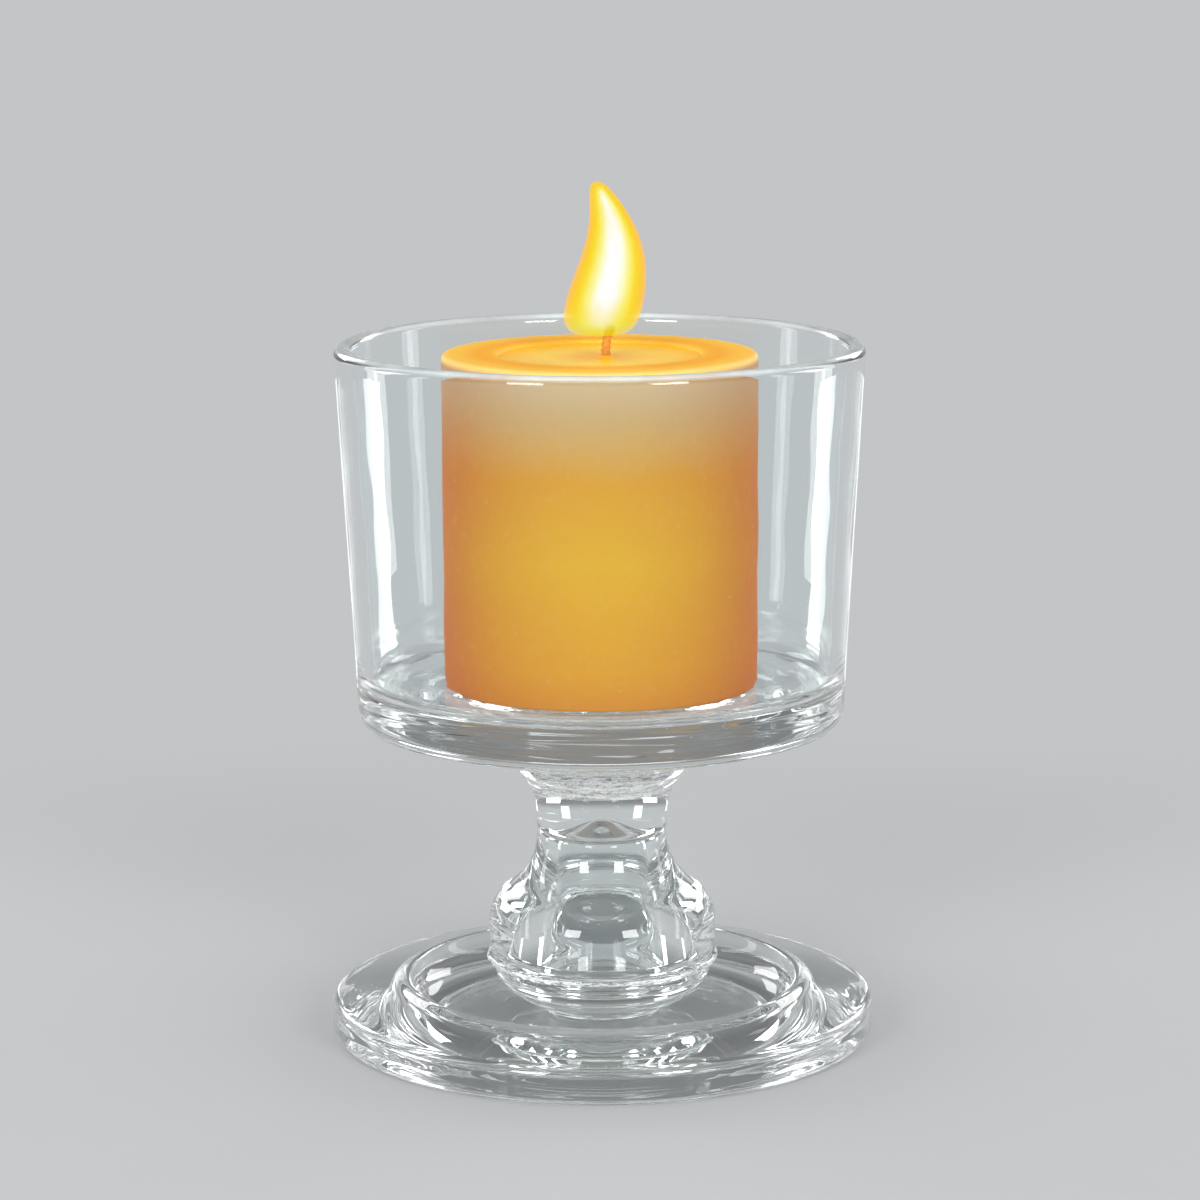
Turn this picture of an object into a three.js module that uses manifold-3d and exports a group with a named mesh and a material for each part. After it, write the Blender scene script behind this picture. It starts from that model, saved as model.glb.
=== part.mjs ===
// Hurricane candle holder: a drafted glass cup on a bell-shaped hollow stem and a round
// dished base, with a pillar candle standing in the cup.
// Millimetres, +Z up. The origin is the centre of the base's underside.

import * as THREE from 'three';
import { mergeVertices } from 'three/addons/utils/BufferGeometryUtils.js';
import Module from 'manifold-3d';

const wasm = await Module();
wasm.setup();

// Round base
const BASE_RADIUS = 66.5;
const BASE_EDGE_HEIGHT = 8.9;
const SHOULDER_ROUND = 1.9;
const UNDER_EDGE_ROUND = 1.2;
const RING_FOOT_RADIUS = 52.4;
const FLANGE_RISE = 2.6;
const RING_WIDTH = 5.2;
const RING_RISE = 1.8;
const CREST_ROUND = 0.6;
const DISH_FLOOR_THICKNESS = 4.6;
const DISH_SIDE_WIDTH = 12.0;
const BOSS_RADIUS = 26.5;
const BOSS_HEIGHT = 12.2;
const BOSS_RIM_HEIGHT = 1.2;
const BOSS_BOWL_WIDTH = 18.5;
const BOSS_BOWL_HEIGHT = 10.0;
const BOSS_BOWL_TURN = 75;

// Fused joint between the base's boss and the bell
const FOOT_WELD_HEIGHT = 2.2;
const FOOT_WELD_BEAD = 1.9;
const FOOT_WELD_SETBACK = 0.4;

// Bell stem
const BULB_RADIUS = 27.85;
const BULB_LEVEL = 7.5;
const BULB_ROUND = 10.8;
const MOUTH_INSET = 0.65;
const BELL_RIM_WIDTH = 12.3;
const BULB_TO_NECK = 22.5;
const NECK_RADIUS = 15.85;
const NECK_LENGTH = 3.0;
const NECK_WALL = 5.45;
const CAVITY_DEPTH = 30.2;
const CAVITY_SHOULDER_ROUND = 1.2;
const CAVITY_NUB_RADIUS = 8.3;
const CAVITY_NUB_RISE = 5.0;

// Flare that runs from the neck through the upper joint into the cup's underside
const FLARE_ROUND = 20.9;
const FLARE_WELD_ANGLE = 29.2;
const FLARE_END_ANGLE = 61.1;
const NECK_WELD_HEIGHT = 2.2;
const NECK_WELD_BEAD = 0.25;

// Cup
const CUP_RADIUS = 63.7;
const CUP_HEIGHT = 92.3;
const CUP_DRAFT = 4.8;
const CUP_WALL = 4.2;
const CUP_FLOOR_THICKNESS = 9.5;
const CUP_FLOOR_FILLET = 4.5;
const UNDERSIDE_RISE = 6.8;
const HEEL_WIDTH = 2.5;
const HEEL_HEIGHT = 4.8;

// Pillar candle
const CANDLE_RADIUS = 38.0;
const CANDLE_HEIGHT = 80.0;
const CANDLE_EDGE_ROUND = 0.8;
const SEAT_GAP = 0.3;
const FIT_GAP = 0.3;
const POOL_RADIUS = 24.0;
const POOL_THICKNESS = 1.6;
const POOL_BELOW_TOP = 1.0;

// Wick and its sustainer
const WICK_RADIUS = 1.2;
const WICK_OFFSET = 1.5;
const WICK_SHOWN = 7.6;
const WICK_LEAN = 1.6;
const WICK_BEND_SHARE = 0.2;
const WICK_KNEE_SHARE = 0.65;
const TAB_RADIUS = 9.0;
const TAB_THICKNESS = 0.5;
const COLLAR_WALL = 0.6;
const COLLAR_HEIGHT = 5.0;

// Flame
const FLAME_HEIGHT = 36.6;
const FLAME_RADIUS = 9.3;
const FLAME_LEAN = 3.4;
const FLAME_LEAN_POWER = 1.4;
const FLAME_LEAN_TURN = 1.05;
const FLAME_FOOT_POWER = 0.2;
const FLAME_TIP_POWER = 0.8;
const FLAME_TIP_FULLNESS = 0.55;
const FLAME_TIP_START_POWER = 8;
const FLAME_TIP_END_POWER = 0.4;
const FLAME_OVERLAP_WITH_WICK = 2.2;
const FLAME_CLEARANCE = 0.5;

// Facets round the axis
const LARGE_FACETS = 56;
const SMALL_FACETS = 40;
const TRIM_FACETS = 28;
const WICK_SIDES = 8;
const WICK_STEPS = 44;

// How far a cutting bar runs past the face that it opens
const CUT_PAST = 1.0;

const degrees = THREE.MathUtils.degToRad;

/** A point of an outline: distance from the axis and height. */
function at(radius, height) {
  return new THREE.Vector2(radius, height);
}

/** Points of an elliptical arc about (radius, height), angles in degrees from the outward direction. */
function arc(radius, height, width, rise, from, to, steps) {
  const points = [];
  for (let i = 0; i <= steps; i += 1) {
    const angle = degrees(from + ((to - from) * i) / steps);
    points.push(at(radius + width * Math.cos(angle), height + rise * Math.sin(angle)));
  }
  return points;
}

/** A body of revolution about +Z from an outline that starts and ends on the axis or closes on itself. */
function turned(outline, facets) {
  const geometry = new THREE.LatheGeometry(outline, facets);
  geometry.rotateX(Math.PI / 2);
  return geometry;
}

/** A solid ready for cutting, from a closed geometry. */
function toSolid(geometry) {
  const bare = geometry.clone();
  bare.deleteAttribute('normal');
  bare.deleteAttribute('uv');
  const merged = mergeVertices(bare, 1e-4);
  return new wasm.Manifold(new wasm.Mesh({
    numProp: 3,
    vertProperties: new Float32Array(merged.attributes.position.array),
    triVerts: new Uint32Array(merged.index.array),
  }));
}

/** A geometry from a cut solid. */
function toGeometry(solid) {
  const mesh = solid.getMesh();
  const geometry = new THREE.BufferGeometry();
  geometry.setAttribute('position', new THREE.BufferAttribute(new Float32Array(mesh.vertProperties), 3));
  geometry.setIndex(new THREE.BufferAttribute(new Uint32Array(mesh.triVerts), 1));
  geometry.computeVertexNormals();
  return geometry;
}

/** The first geometry with the others taken away from it. */
function cut(geometry, ...tools) {
  let solid = toSolid(geometry);
  for (const tool of tools) {
    solid = solid.subtract(toSolid(tool));
  }
  return toGeometry(solid);
}

/** An upright round bar between two heights, centred at x. */
function bar(radius, low, high, x, facets) {
  const geometry = turned([at(0, low), at(radius, low), at(radius, high), at(0, high)], facets);
  geometry.translate(x, 0, 0);
  return geometry;
}

function piece(name, geometry, color, roughness, metalness, opacity = 1) {
  const material = new THREE.MeshStandardMaterial({ color, roughness, metalness });
  material.transparent = opacity < 1;
  material.opacity = opacity;
  const mesh = new THREE.Mesh(geometry, material);
  mesh.name = name;
  return mesh;
}

function glassPiece(name, geometry, height) {
  const mesh = piece(name, geometry, 0xdfeeee, 0.04, 0, 0.35);
  mesh.position.z = height;
  return mesh;
}

// Heights of the stacked glass pieces above the table
const dishFloor = DISH_FLOOR_THICKNESS;
const bossTop = dishFloor + BOSS_HEIGHT;
const bellFoot = bossTop + FOOT_WELD_HEIGHT;

const flareToWeld = FLARE_ROUND * Math.sin(degrees(FLARE_WELD_ANGLE));
const flareToCup = flareToWeld + NECK_WELD_HEIGHT;
const flareEnd = FLARE_ROUND * Math.sin(degrees(FLARE_END_ANGLE));
const neckLow = BULB_LEVEL + BULB_TO_NECK;
const neckHigh = neckLow + NECK_LENGTH;
const bellHeight = neckHigh + flareToWeld;
const neckWeldFoot = bellFoot + bellHeight;
const cupFoot = neckWeldFoot + NECK_WELD_HEIGHT;

// Heights inside the cup, above its own foot
const undersideEdge = flareEnd - flareToCup + UNDERSIDE_RISE;
const cupFloor = undersideEdge + CUP_FLOOR_THICKNESS;
const cupRim = undersideEdge + CUP_HEIGHT;
const candleSeat = cupFoot + cupFloor + SEAT_GAP;

/** Outer radius of the flare at a height above the neck. */
function flareRadius(rise) {
  return NECK_RADIUS + FLARE_ROUND - Math.sqrt(FLARE_ROUND ** 2 - rise ** 2);
}

/** Outline of the flare between two heights above the neck, set at the piece's own height. */
function flare(from, to, shift, steps) {
  const points = [];
  for (let i = 0; i <= steps; i += 1) {
    const rise = from + ((to - from) * i) / steps;
    points.push(at(flareRadius(rise), shift + rise - from));
  }
  return points;
}

/** Base: flat underside, upright edge, rising flange, raised ring, dished floor and a bowl-shaped boss. */
function baseDish() {
  const ringFoot = BASE_EDGE_HEIGHT + FLANGE_RISE;
  const crest = ringFoot + RING_RISE;
  const crestRadius = RING_FOOT_RADIUS - RING_WIDTH;
  const ringSteps = 4;
  const ring = [];
  for (let i = 0; i <= ringSteps; i += 1) {
    const share = i / ringSteps;
    const lift = (1 - Math.cos(Math.PI * share)) / 2;
    ring.push(at(RING_FOOT_RADIUS - (RING_WIDTH - CREST_ROUND) * share, ringFoot + RING_RISE * lift));
  }
  const shoulder = SHOULDER_ROUND;
  const sideTop = crest - CREST_ROUND;
  const sideFoot = crestRadius - DISH_SIDE_WIDTH;
  const sideSteps = 5;
  const sideStep = 90 / sideSteps;

  // The boss is a bowl that narrows to a waist, with a small fillet down to the dish
  const bowlCentre = BOSS_RADIUS - BOSS_BOWL_WIDTH;
  const bowlTop = bossTop - BOSS_RIM_HEIGHT;
  const bowlSteps = 5;
  const bowlStep = BOSS_BOWL_TURN / bowlSteps;
  const waistRadius = bowlCentre + BOSS_BOWL_WIDTH * Math.cos(degrees(BOSS_BOWL_TURN));
  const waistFoot = bowlTop - BOSS_BOWL_HEIGHT * Math.sin(degrees(BOSS_BOWL_TURN));
  const bowlFoot = bowlStep - BOSS_BOWL_TURN;
  const bowl = arc(bowlCentre, bowlTop, BOSS_BOWL_WIDTH, BOSS_BOWL_HEIGHT, bowlFoot, 0, bowlSteps - 1);
  const fillet = waistFoot - dishFloor;

  return turned([
    at(0, 0),
    ...arc(BASE_RADIUS - UNDER_EDGE_ROUND, UNDER_EDGE_ROUND, UNDER_EDGE_ROUND, UNDER_EDGE_ROUND, -90, 0, 2),
    ...arc(BASE_RADIUS - shoulder, BASE_EDGE_HEIGHT - shoulder, shoulder, shoulder, 0, 90, 3),
    ...ring,
    at(crestRadius, sideTop),
    ...arc(sideFoot, sideTop, DISH_SIDE_WIDTH, sideTop - dishFloor, -sideStep, -90, sideSteps - 1),
    ...arc(waistRadius + fillet, waistFoot, fillet, fillet, -90, -180, 2),
    ...bowl,
    at(BOSS_RADIUS, bossTop),
    at(0, bossTop),
  ], LARGE_FACETS);
}

/** Ring of fused glass between the boss and the bell's rim, its bead standing out past both. */
function footWeld() {
  const inner = BULB_RADIUS - MOUTH_INSET - BELL_RIM_WIDTH + FOOT_WELD_SETBACK;
  const half = FOOT_WELD_HEIGHT / 2;
  return turned([
    at(inner, 0),
    ...arc(BOSS_RADIUS, half, FOOT_WELD_BEAD, half, -90, 90, 4),
    at(inner, FOOT_WELD_HEIGHT),
    at(inner, 0),
  ], SMALL_FACETS);
}

/** Bell: a bulb drawn in to a narrow neck, its tapering cavity open at the foot and topped by a nub. */
function bellStem() {
  const mouthRadius = BULB_RADIUS - MOUTH_INSET;
  const cavityMouth = mouthRadius - BELL_RIM_WIDTH;
  const shoulder = CAVITY_SHOULDER_ROUND;
  const shoulderCentre = NECK_RADIUS - NECK_WALL - shoulder;
  const nubSteps = 5;
  const nub = [];
  for (let i = 0; i <= nubSteps; i += 1) {
    const share = i / nubSteps;
    const lift = (1 + Math.cos(Math.PI * share)) / 2;
    nub.push(at(CAVITY_NUB_RADIUS * share, CAVITY_DEPTH + CAVITY_NUB_RISE * lift));
  }
  const lowerRound = (BULB_LEVEL ** 2 + MOUTH_INSET ** 2) / (2 * MOUTH_INSET);
  const lowerTurn = THREE.MathUtils.radToDeg(Math.asin(BULB_LEVEL / lowerRound));

  // The neck's hollow arc touches the bulb's arc: its radius follows from both centres
  const bulbCentre = BULB_RADIUS - BULB_ROUND;
  const reach = NECK_RADIUS - bulbCentre;
  const neckRound = (reach ** 2 + BULB_TO_NECK ** 2 - BULB_ROUND ** 2) / (2 * (BULB_ROUND - reach));
  const touch = THREE.MathUtils.radToDeg(Math.atan2(BULB_TO_NECK, reach + neckRound));
  const turnSteps = 5;
  const turnStep = touch / turnSteps;
  const neckFoot = 180 + touch - turnStep;

  return turned([
    ...nub,
    ...arc(shoulderCentre, CAVITY_DEPTH - shoulder, shoulder, shoulder, 90, 0, 2),
    at(cavityMouth, 0),
    ...arc(BULB_RADIUS - lowerRound, BULB_LEVEL, lowerRound, lowerRound, -lowerTurn, 0, 2),
    ...arc(bulbCentre, BULB_LEVEL, BULB_ROUND, BULB_ROUND, turnStep, touch, turnSteps - 1),
    ...arc(NECK_RADIUS + neckRound, neckLow, neckRound, neckRound, neckFoot, 180, turnSteps - 1),
    ...flare(0, flareToWeld, neckHigh, 3),
    at(0, bellHeight),
  ], SMALL_FACETS);
}

/** Disc of fused glass that joins the bell's flare to the cup's. */
function neckWeld() {
  const middle = (flareRadius(flareToWeld) + flareRadius(flareToCup)) / 2 + NECK_WELD_BEAD;
  return turned([
    at(0, 0),
    at(flareRadius(flareToWeld), 0),
    at(middle, NECK_WELD_HEIGHT / 2),
    at(flareRadius(flareToCup), NECK_WELD_HEIGHT),
    at(0, NECK_WELD_HEIGHT),
  ], SMALL_FACETS);
}

/** Cup: the flare's end, a rising underside, a round heel, a drafted wall, a round lip and a thick floor. */
function hurricaneCup() {
  const footRadius = CUP_RADIUS - CUP_DRAFT;
  const slope = CUP_DRAFT / CUP_HEIGHT;
  const heelTop = undersideEdge + HEEL_HEIGHT;
  const heelRadius = footRadius + slope * HEEL_HEIGHT;
  const lip = CUP_WALL / 2;
  const filletTop = cupFloor + CUP_FLOOR_FILLET;
  const innerFoot = footRadius + slope * (CUP_FLOOR_THICKNESS + CUP_FLOOR_FILLET) - CUP_WALL;
  return turned([
    at(0, 0),
    ...flare(flareToCup, flareEnd, 0, 3),
    ...arc(heelRadius - HEEL_WIDTH, heelTop, HEEL_WIDTH, HEEL_HEIGHT, -90, 0, 4),
    ...arc(CUP_RADIUS - lip, cupRim - lip, lip, lip, 0, 180, 6),
    ...arc(innerFoot - CUP_FLOOR_FILLET, filletTop, CUP_FLOOR_FILLET, CUP_FLOOR_FILLET, 0, -90, 4),
    at(0, cupFloor),
  ], LARGE_FACETS);
}

/** Centre line of the wick, from the sustainer up and over to its leaning tip. */
function wickLine(extra) {
  const poolTop = CANDLE_HEIGHT - POOL_BELOW_TOP;
  const bend = poolTop + WICK_SHOWN * WICK_BEND_SHARE;
  const tip = new THREE.Vector3(WICK_OFFSET + WICK_LEAN, 0, poolTop + WICK_SHOWN);
  const knee = new THREE.Vector3(WICK_OFFSET, 0, poolTop + WICK_SHOWN * WICK_KNEE_SHARE);
  const onward = tip.clone().sub(knee).normalize();
  const line = new THREE.CurvePath();
  const foot = new THREE.Vector3(WICK_OFFSET, 0, TAB_THICKNESS);
  const start = new THREE.Vector3(WICK_OFFSET, 0, bend);
  line.add(new THREE.LineCurve3(foot, start));
  line.add(new THREE.QuadraticBezierCurve3(start, knee, tip));
  if (extra > 0) {
    line.add(new THREE.LineCurve3(tip, tip.clone().addScaledVector(onward, extra)));
  }
  return line;
}

/** A round strand along the wick's line. */
function strand(radius, extra) {
  const section = new THREE.Shape();
  for (let i = 0; i < WICK_SIDES; i += 1) {
    const angle = (2 * Math.PI * i) / WICK_SIDES;
    const x = radius * Math.cos(angle);
    const y = radius * Math.sin(angle);
    if (i === 0) {
      section.moveTo(x, y);
    } else {
      section.lineTo(x, y);
    }
  }
  section.closePath();
  return new THREE.ExtrudeGeometry(section, { steps: WICK_STEPS, extrudePath: wickLine(extra) });
}

/** Wax body, with the melted hollow on top, the wick's bore and the sustainer's pocket. */
function pillarWax() {
  const round = CANDLE_EDGE_ROUND;
  const brim = POOL_BELOW_TOP;
  const hollowRadius = POOL_RADIUS + FIT_GAP;
  const hollowFloor = CANDLE_HEIGHT - POOL_BELOW_TOP - POOL_THICKNESS;
  const body = turned([
    at(0, 0),
    ...arc(CANDLE_RADIUS - round, round, round, round, -90, 0, 2),
    ...arc(CANDLE_RADIUS - round, CANDLE_HEIGHT - round, round, round, 0, 90, 2),
    ...arc(hollowRadius + brim, CANDLE_HEIGHT - brim, brim, brim, 90, 180, 2),
    at(hollowRadius, hollowFloor),
    at(0, hollowFloor),
  ], LARGE_FACETS);
  const bore = WICK_RADIUS + FIT_GAP;
  const collar = bore + COLLAR_WALL + FIT_GAP;
  return cut(
    body,
    bar(bore, -CUT_PAST, CANDLE_HEIGHT, WICK_OFFSET, TRIM_FACETS),
    bar(collar, -CUT_PAST, TAB_THICKNESS + COLLAR_HEIGHT + FIT_GAP, WICK_OFFSET, TRIM_FACETS),
    bar(TAB_RADIUS + FIT_GAP, -CUT_PAST, TAB_THICKNESS + FIT_GAP, WICK_OFFSET, TRIM_FACETS),
  );
}

/** Pool of molten wax round the wick. */
function meltPool() {
  const top = CANDLE_HEIGHT - POOL_BELOW_TOP;
  const disc = bar(POOL_RADIUS, top - POOL_THICKNESS, top, 0, SMALL_FACETS);
  return cut(disc, bar(WICK_RADIUS + FIT_GAP, 0, CANDLE_HEIGHT, WICK_OFFSET, TRIM_FACETS));
}

/** Tin sustainer: a flat disc with a collar that grips the wick's foot. */
function wickSustainer() {
  const grip = WICK_RADIUS + FIT_GAP;
  const collarTop = TAB_THICKNESS + COLLAR_HEIGHT;
  const geometry = turned([
    at(0, 0),
    at(TAB_RADIUS, 0),
    at(TAB_RADIUS, TAB_THICKNESS),
    at(grip + COLLAR_WALL, TAB_THICKNESS),
    at(grip + COLLAR_WALL, collarTop),
    at(grip, collarTop),
    at(grip, TAB_THICKNESS),
    at(0, TAB_THICKNESS),
  ], TRIM_FACETS);
  geometry.translate(WICK_OFFSET, 0, 0);
  return geometry;
}

/** Flame: a blunt-tipped teardrop swept along a leaning S, hollowed where the wick's tip stands in it. */
function candleFlame() {
  const foot = CANDLE_HEIGHT - POOL_BELOW_TOP + WICK_SHOWN - FLAME_OVERLAP_WITH_WICK;
  const widest = FLAME_FOOT_POWER / (FLAME_FOOT_POWER + FLAME_TIP_POWER);
  const spread = (share) => share ** FLAME_FOOT_POWER * (1 - share) ** FLAME_TIP_POWER;
  const fullness = (share) => share ** FLAME_TIP_START_POWER * (1 - share) ** FLAME_TIP_END_POWER;
  const outline = [at(0, foot)];
  const steps = 14;
  for (let i = 1; i < steps; i += 1) {
    const share = (1 - Math.cos((Math.PI * i) / steps)) / 2;
    const width = spread(share) / spread(widest) + FLAME_TIP_FULLNESS * fullness(share);
    outline.push(at(FLAME_RADIUS * width, foot + FLAME_HEIGHT * share));
  }
  outline.push(at(0, foot + FLAME_HEIGHT));
  const body = turned(outline, TRIM_FACETS);
  const position = body.attributes.position;
  for (let i = 0; i < position.count; i += 1) {
    const share = THREE.MathUtils.clamp((position.getZ(i) - foot) / FLAME_HEIGHT, 0, 1);
    const lean = FLAME_LEAN * Math.sin(Math.PI * FLAME_LEAN_TURN * share ** FLAME_LEAN_POWER);
    position.setX(i, position.getX(i) + lean);
  }
  return cut(body, strand(WICK_RADIUS + FLAME_CLEARANCE, FLAME_CLEARANCE));
}

const holder = new THREE.Group();
holder.add(glassPiece('base_dish', baseDish(), 0));
holder.add(glassPiece('foot_weld', footWeld(), bossTop));
holder.add(glassPiece('bell_stem', bellStem(), bellFoot));
holder.add(glassPiece('neck_weld', neckWeld(), neckWeldFoot));
holder.add(glassPiece('hurricane_cup', hurricaneCup(), cupFoot));

const candle = new THREE.Group();
candle.position.z = candleSeat;
candle.add(piece('pillar_wax', pillarWax(), 0xe2812c, 0.45, 0));
candle.add(piece('melt_pool', meltPool(), 0xffc04a, 0.08, 0));
candle.add(piece('candle_wick', strand(WICK_RADIUS, 0), 0x9a5a1e, 0.9, 0));
candle.add(piece('wick_sustainer', wickSustainer(), 0xb9bcc0, 0.35, 1));
candle.add(piece('candle_flame', candleFlame(), 0xffd21a, 0.5, 0));

const hurricaneHolder = new THREE.Group();
hurricaneHolder.add(holder);
hurricaneHolder.add(candle);

export default hurricaneHolder;
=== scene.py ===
"""Looks of the hurricane candle holder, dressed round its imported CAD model.

The holder is clear pressed glass: a cup on a hollow bell stem and a round dished base, joined by two
fused seams. A pillar candle stands in the cup. Size fields are millimetres, with heights above the
table unless a class says otherwise, and every mesh is in metres.
"""

import logging
import math
from dataclasses import dataclass, field
from enum import Enum, IntEnum
from typing import Callable, ClassVar, Sequence

import bpy
import numpy as np
from mathutils import Matrix, Vector


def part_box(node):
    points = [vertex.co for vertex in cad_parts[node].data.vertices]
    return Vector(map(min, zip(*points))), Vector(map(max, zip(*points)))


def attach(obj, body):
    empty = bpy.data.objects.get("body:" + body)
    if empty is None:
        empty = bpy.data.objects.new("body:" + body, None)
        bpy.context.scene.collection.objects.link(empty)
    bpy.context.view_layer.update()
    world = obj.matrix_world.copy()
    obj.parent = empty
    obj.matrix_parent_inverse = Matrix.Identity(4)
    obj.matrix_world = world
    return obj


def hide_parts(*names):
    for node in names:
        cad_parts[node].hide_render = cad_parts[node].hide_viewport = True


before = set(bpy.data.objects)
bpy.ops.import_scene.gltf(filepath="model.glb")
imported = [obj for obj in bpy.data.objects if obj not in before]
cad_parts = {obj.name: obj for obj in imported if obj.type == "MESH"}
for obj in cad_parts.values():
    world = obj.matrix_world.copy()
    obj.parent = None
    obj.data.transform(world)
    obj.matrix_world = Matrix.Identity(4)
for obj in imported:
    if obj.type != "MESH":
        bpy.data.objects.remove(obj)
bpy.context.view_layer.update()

LOG = logging.getLogger("hurricane")
MM = 0.001
TURN = 2 * math.pi
Colour = tuple[float, float, float]
BACKDROP: Colour = (0.545, 0.557, 0.568)
PALE_FLECK: Colour = (0.95, 0.97, 0.97)
GLASS_IOR = 1.5
BOSS_RADIUS = 26.5
SEAM_INNER = 15.3
SEAM_SLIT = 0.02
WELD_HEIGHT = 2.2
WELD_ANGLE = 29.2


class Body(Enum):
    """The two bodies of the assembly."""

    HOLDER = "holder"
    CANDLE = "candle"


class Skin(IntEnum):
    """The material slots of a glass piece."""

    CLEAR = 0
    FUSED = 1
    JOINT = 2
    LIP = 3


# ---------------------------------------------------------------- node maths


def operator(operation: str, swap: bool = False) -> Callable[["Signal", "Signal | float"], "Signal"]:
    """A method for a Signal that adds one Math node.

    Args:
        operation: the Math node's operation.
        swap: puts the other operand first.

    Returns:
        The method.
    """
    def method(self: "Signal", other: "Signal | float") -> "Signal":
        """Adds the node."""
        return self.apply(operation, other, swap=swap)

    return method


class Signal:
    """A number that varies over a surface; Python's operators add the Math nodes that work it out."""

    def __init__(self, recipe: "Recipe", socket: bpy.types.NodeSocket) -> None:
        """Wraps a socket of a recipe's tree."""
        self.recipe = recipe
        self.socket = socket

    def apply(self, operation: str, *others: "Signal | float", swap: bool = False) -> "Signal":
        """Adds one Math node.

        Args:
            operation: the Math node's operation.
            others: the further operands.
            swap: puts this signal after the first of the others.

        Returns:
            The node's result.
        """
        terms = [self, *others]
        if swap:
            terms[0], terms[1] = terms[1], terms[0]
        node = self.recipe.node("ShaderNodeMath", {"operation": operation}, dict(enumerate(terms)))
        return Signal(self.recipe, node.outputs[0])

    __add__ = __radd__ = operator("ADD")
    __mul__ = __rmul__ = operator("MULTIPLY")
    __sub__, __rsub__ = operator("SUBTRACT"), operator("SUBTRACT", swap=True)
    __truediv__ = operator("DIVIDE")
    __pow__ = operator("POWER")
    larger = operator("MAXIMUM")

    def root(self) -> "Signal":
        """Square root."""
        return self.apply("SQRT")

    def between(self, low: float, high: float) -> "Signal":
        """Rises smoothly from 0 at low to 1 at high."""
        span = {"interpolation_type": "SMOOTHSTEP"}
        values = {"Value": self, "From Min": low, "From Max": high}
        return Signal(self.recipe, self.recipe.node("ShaderNodeMapRange", span, values).outputs[0])


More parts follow.
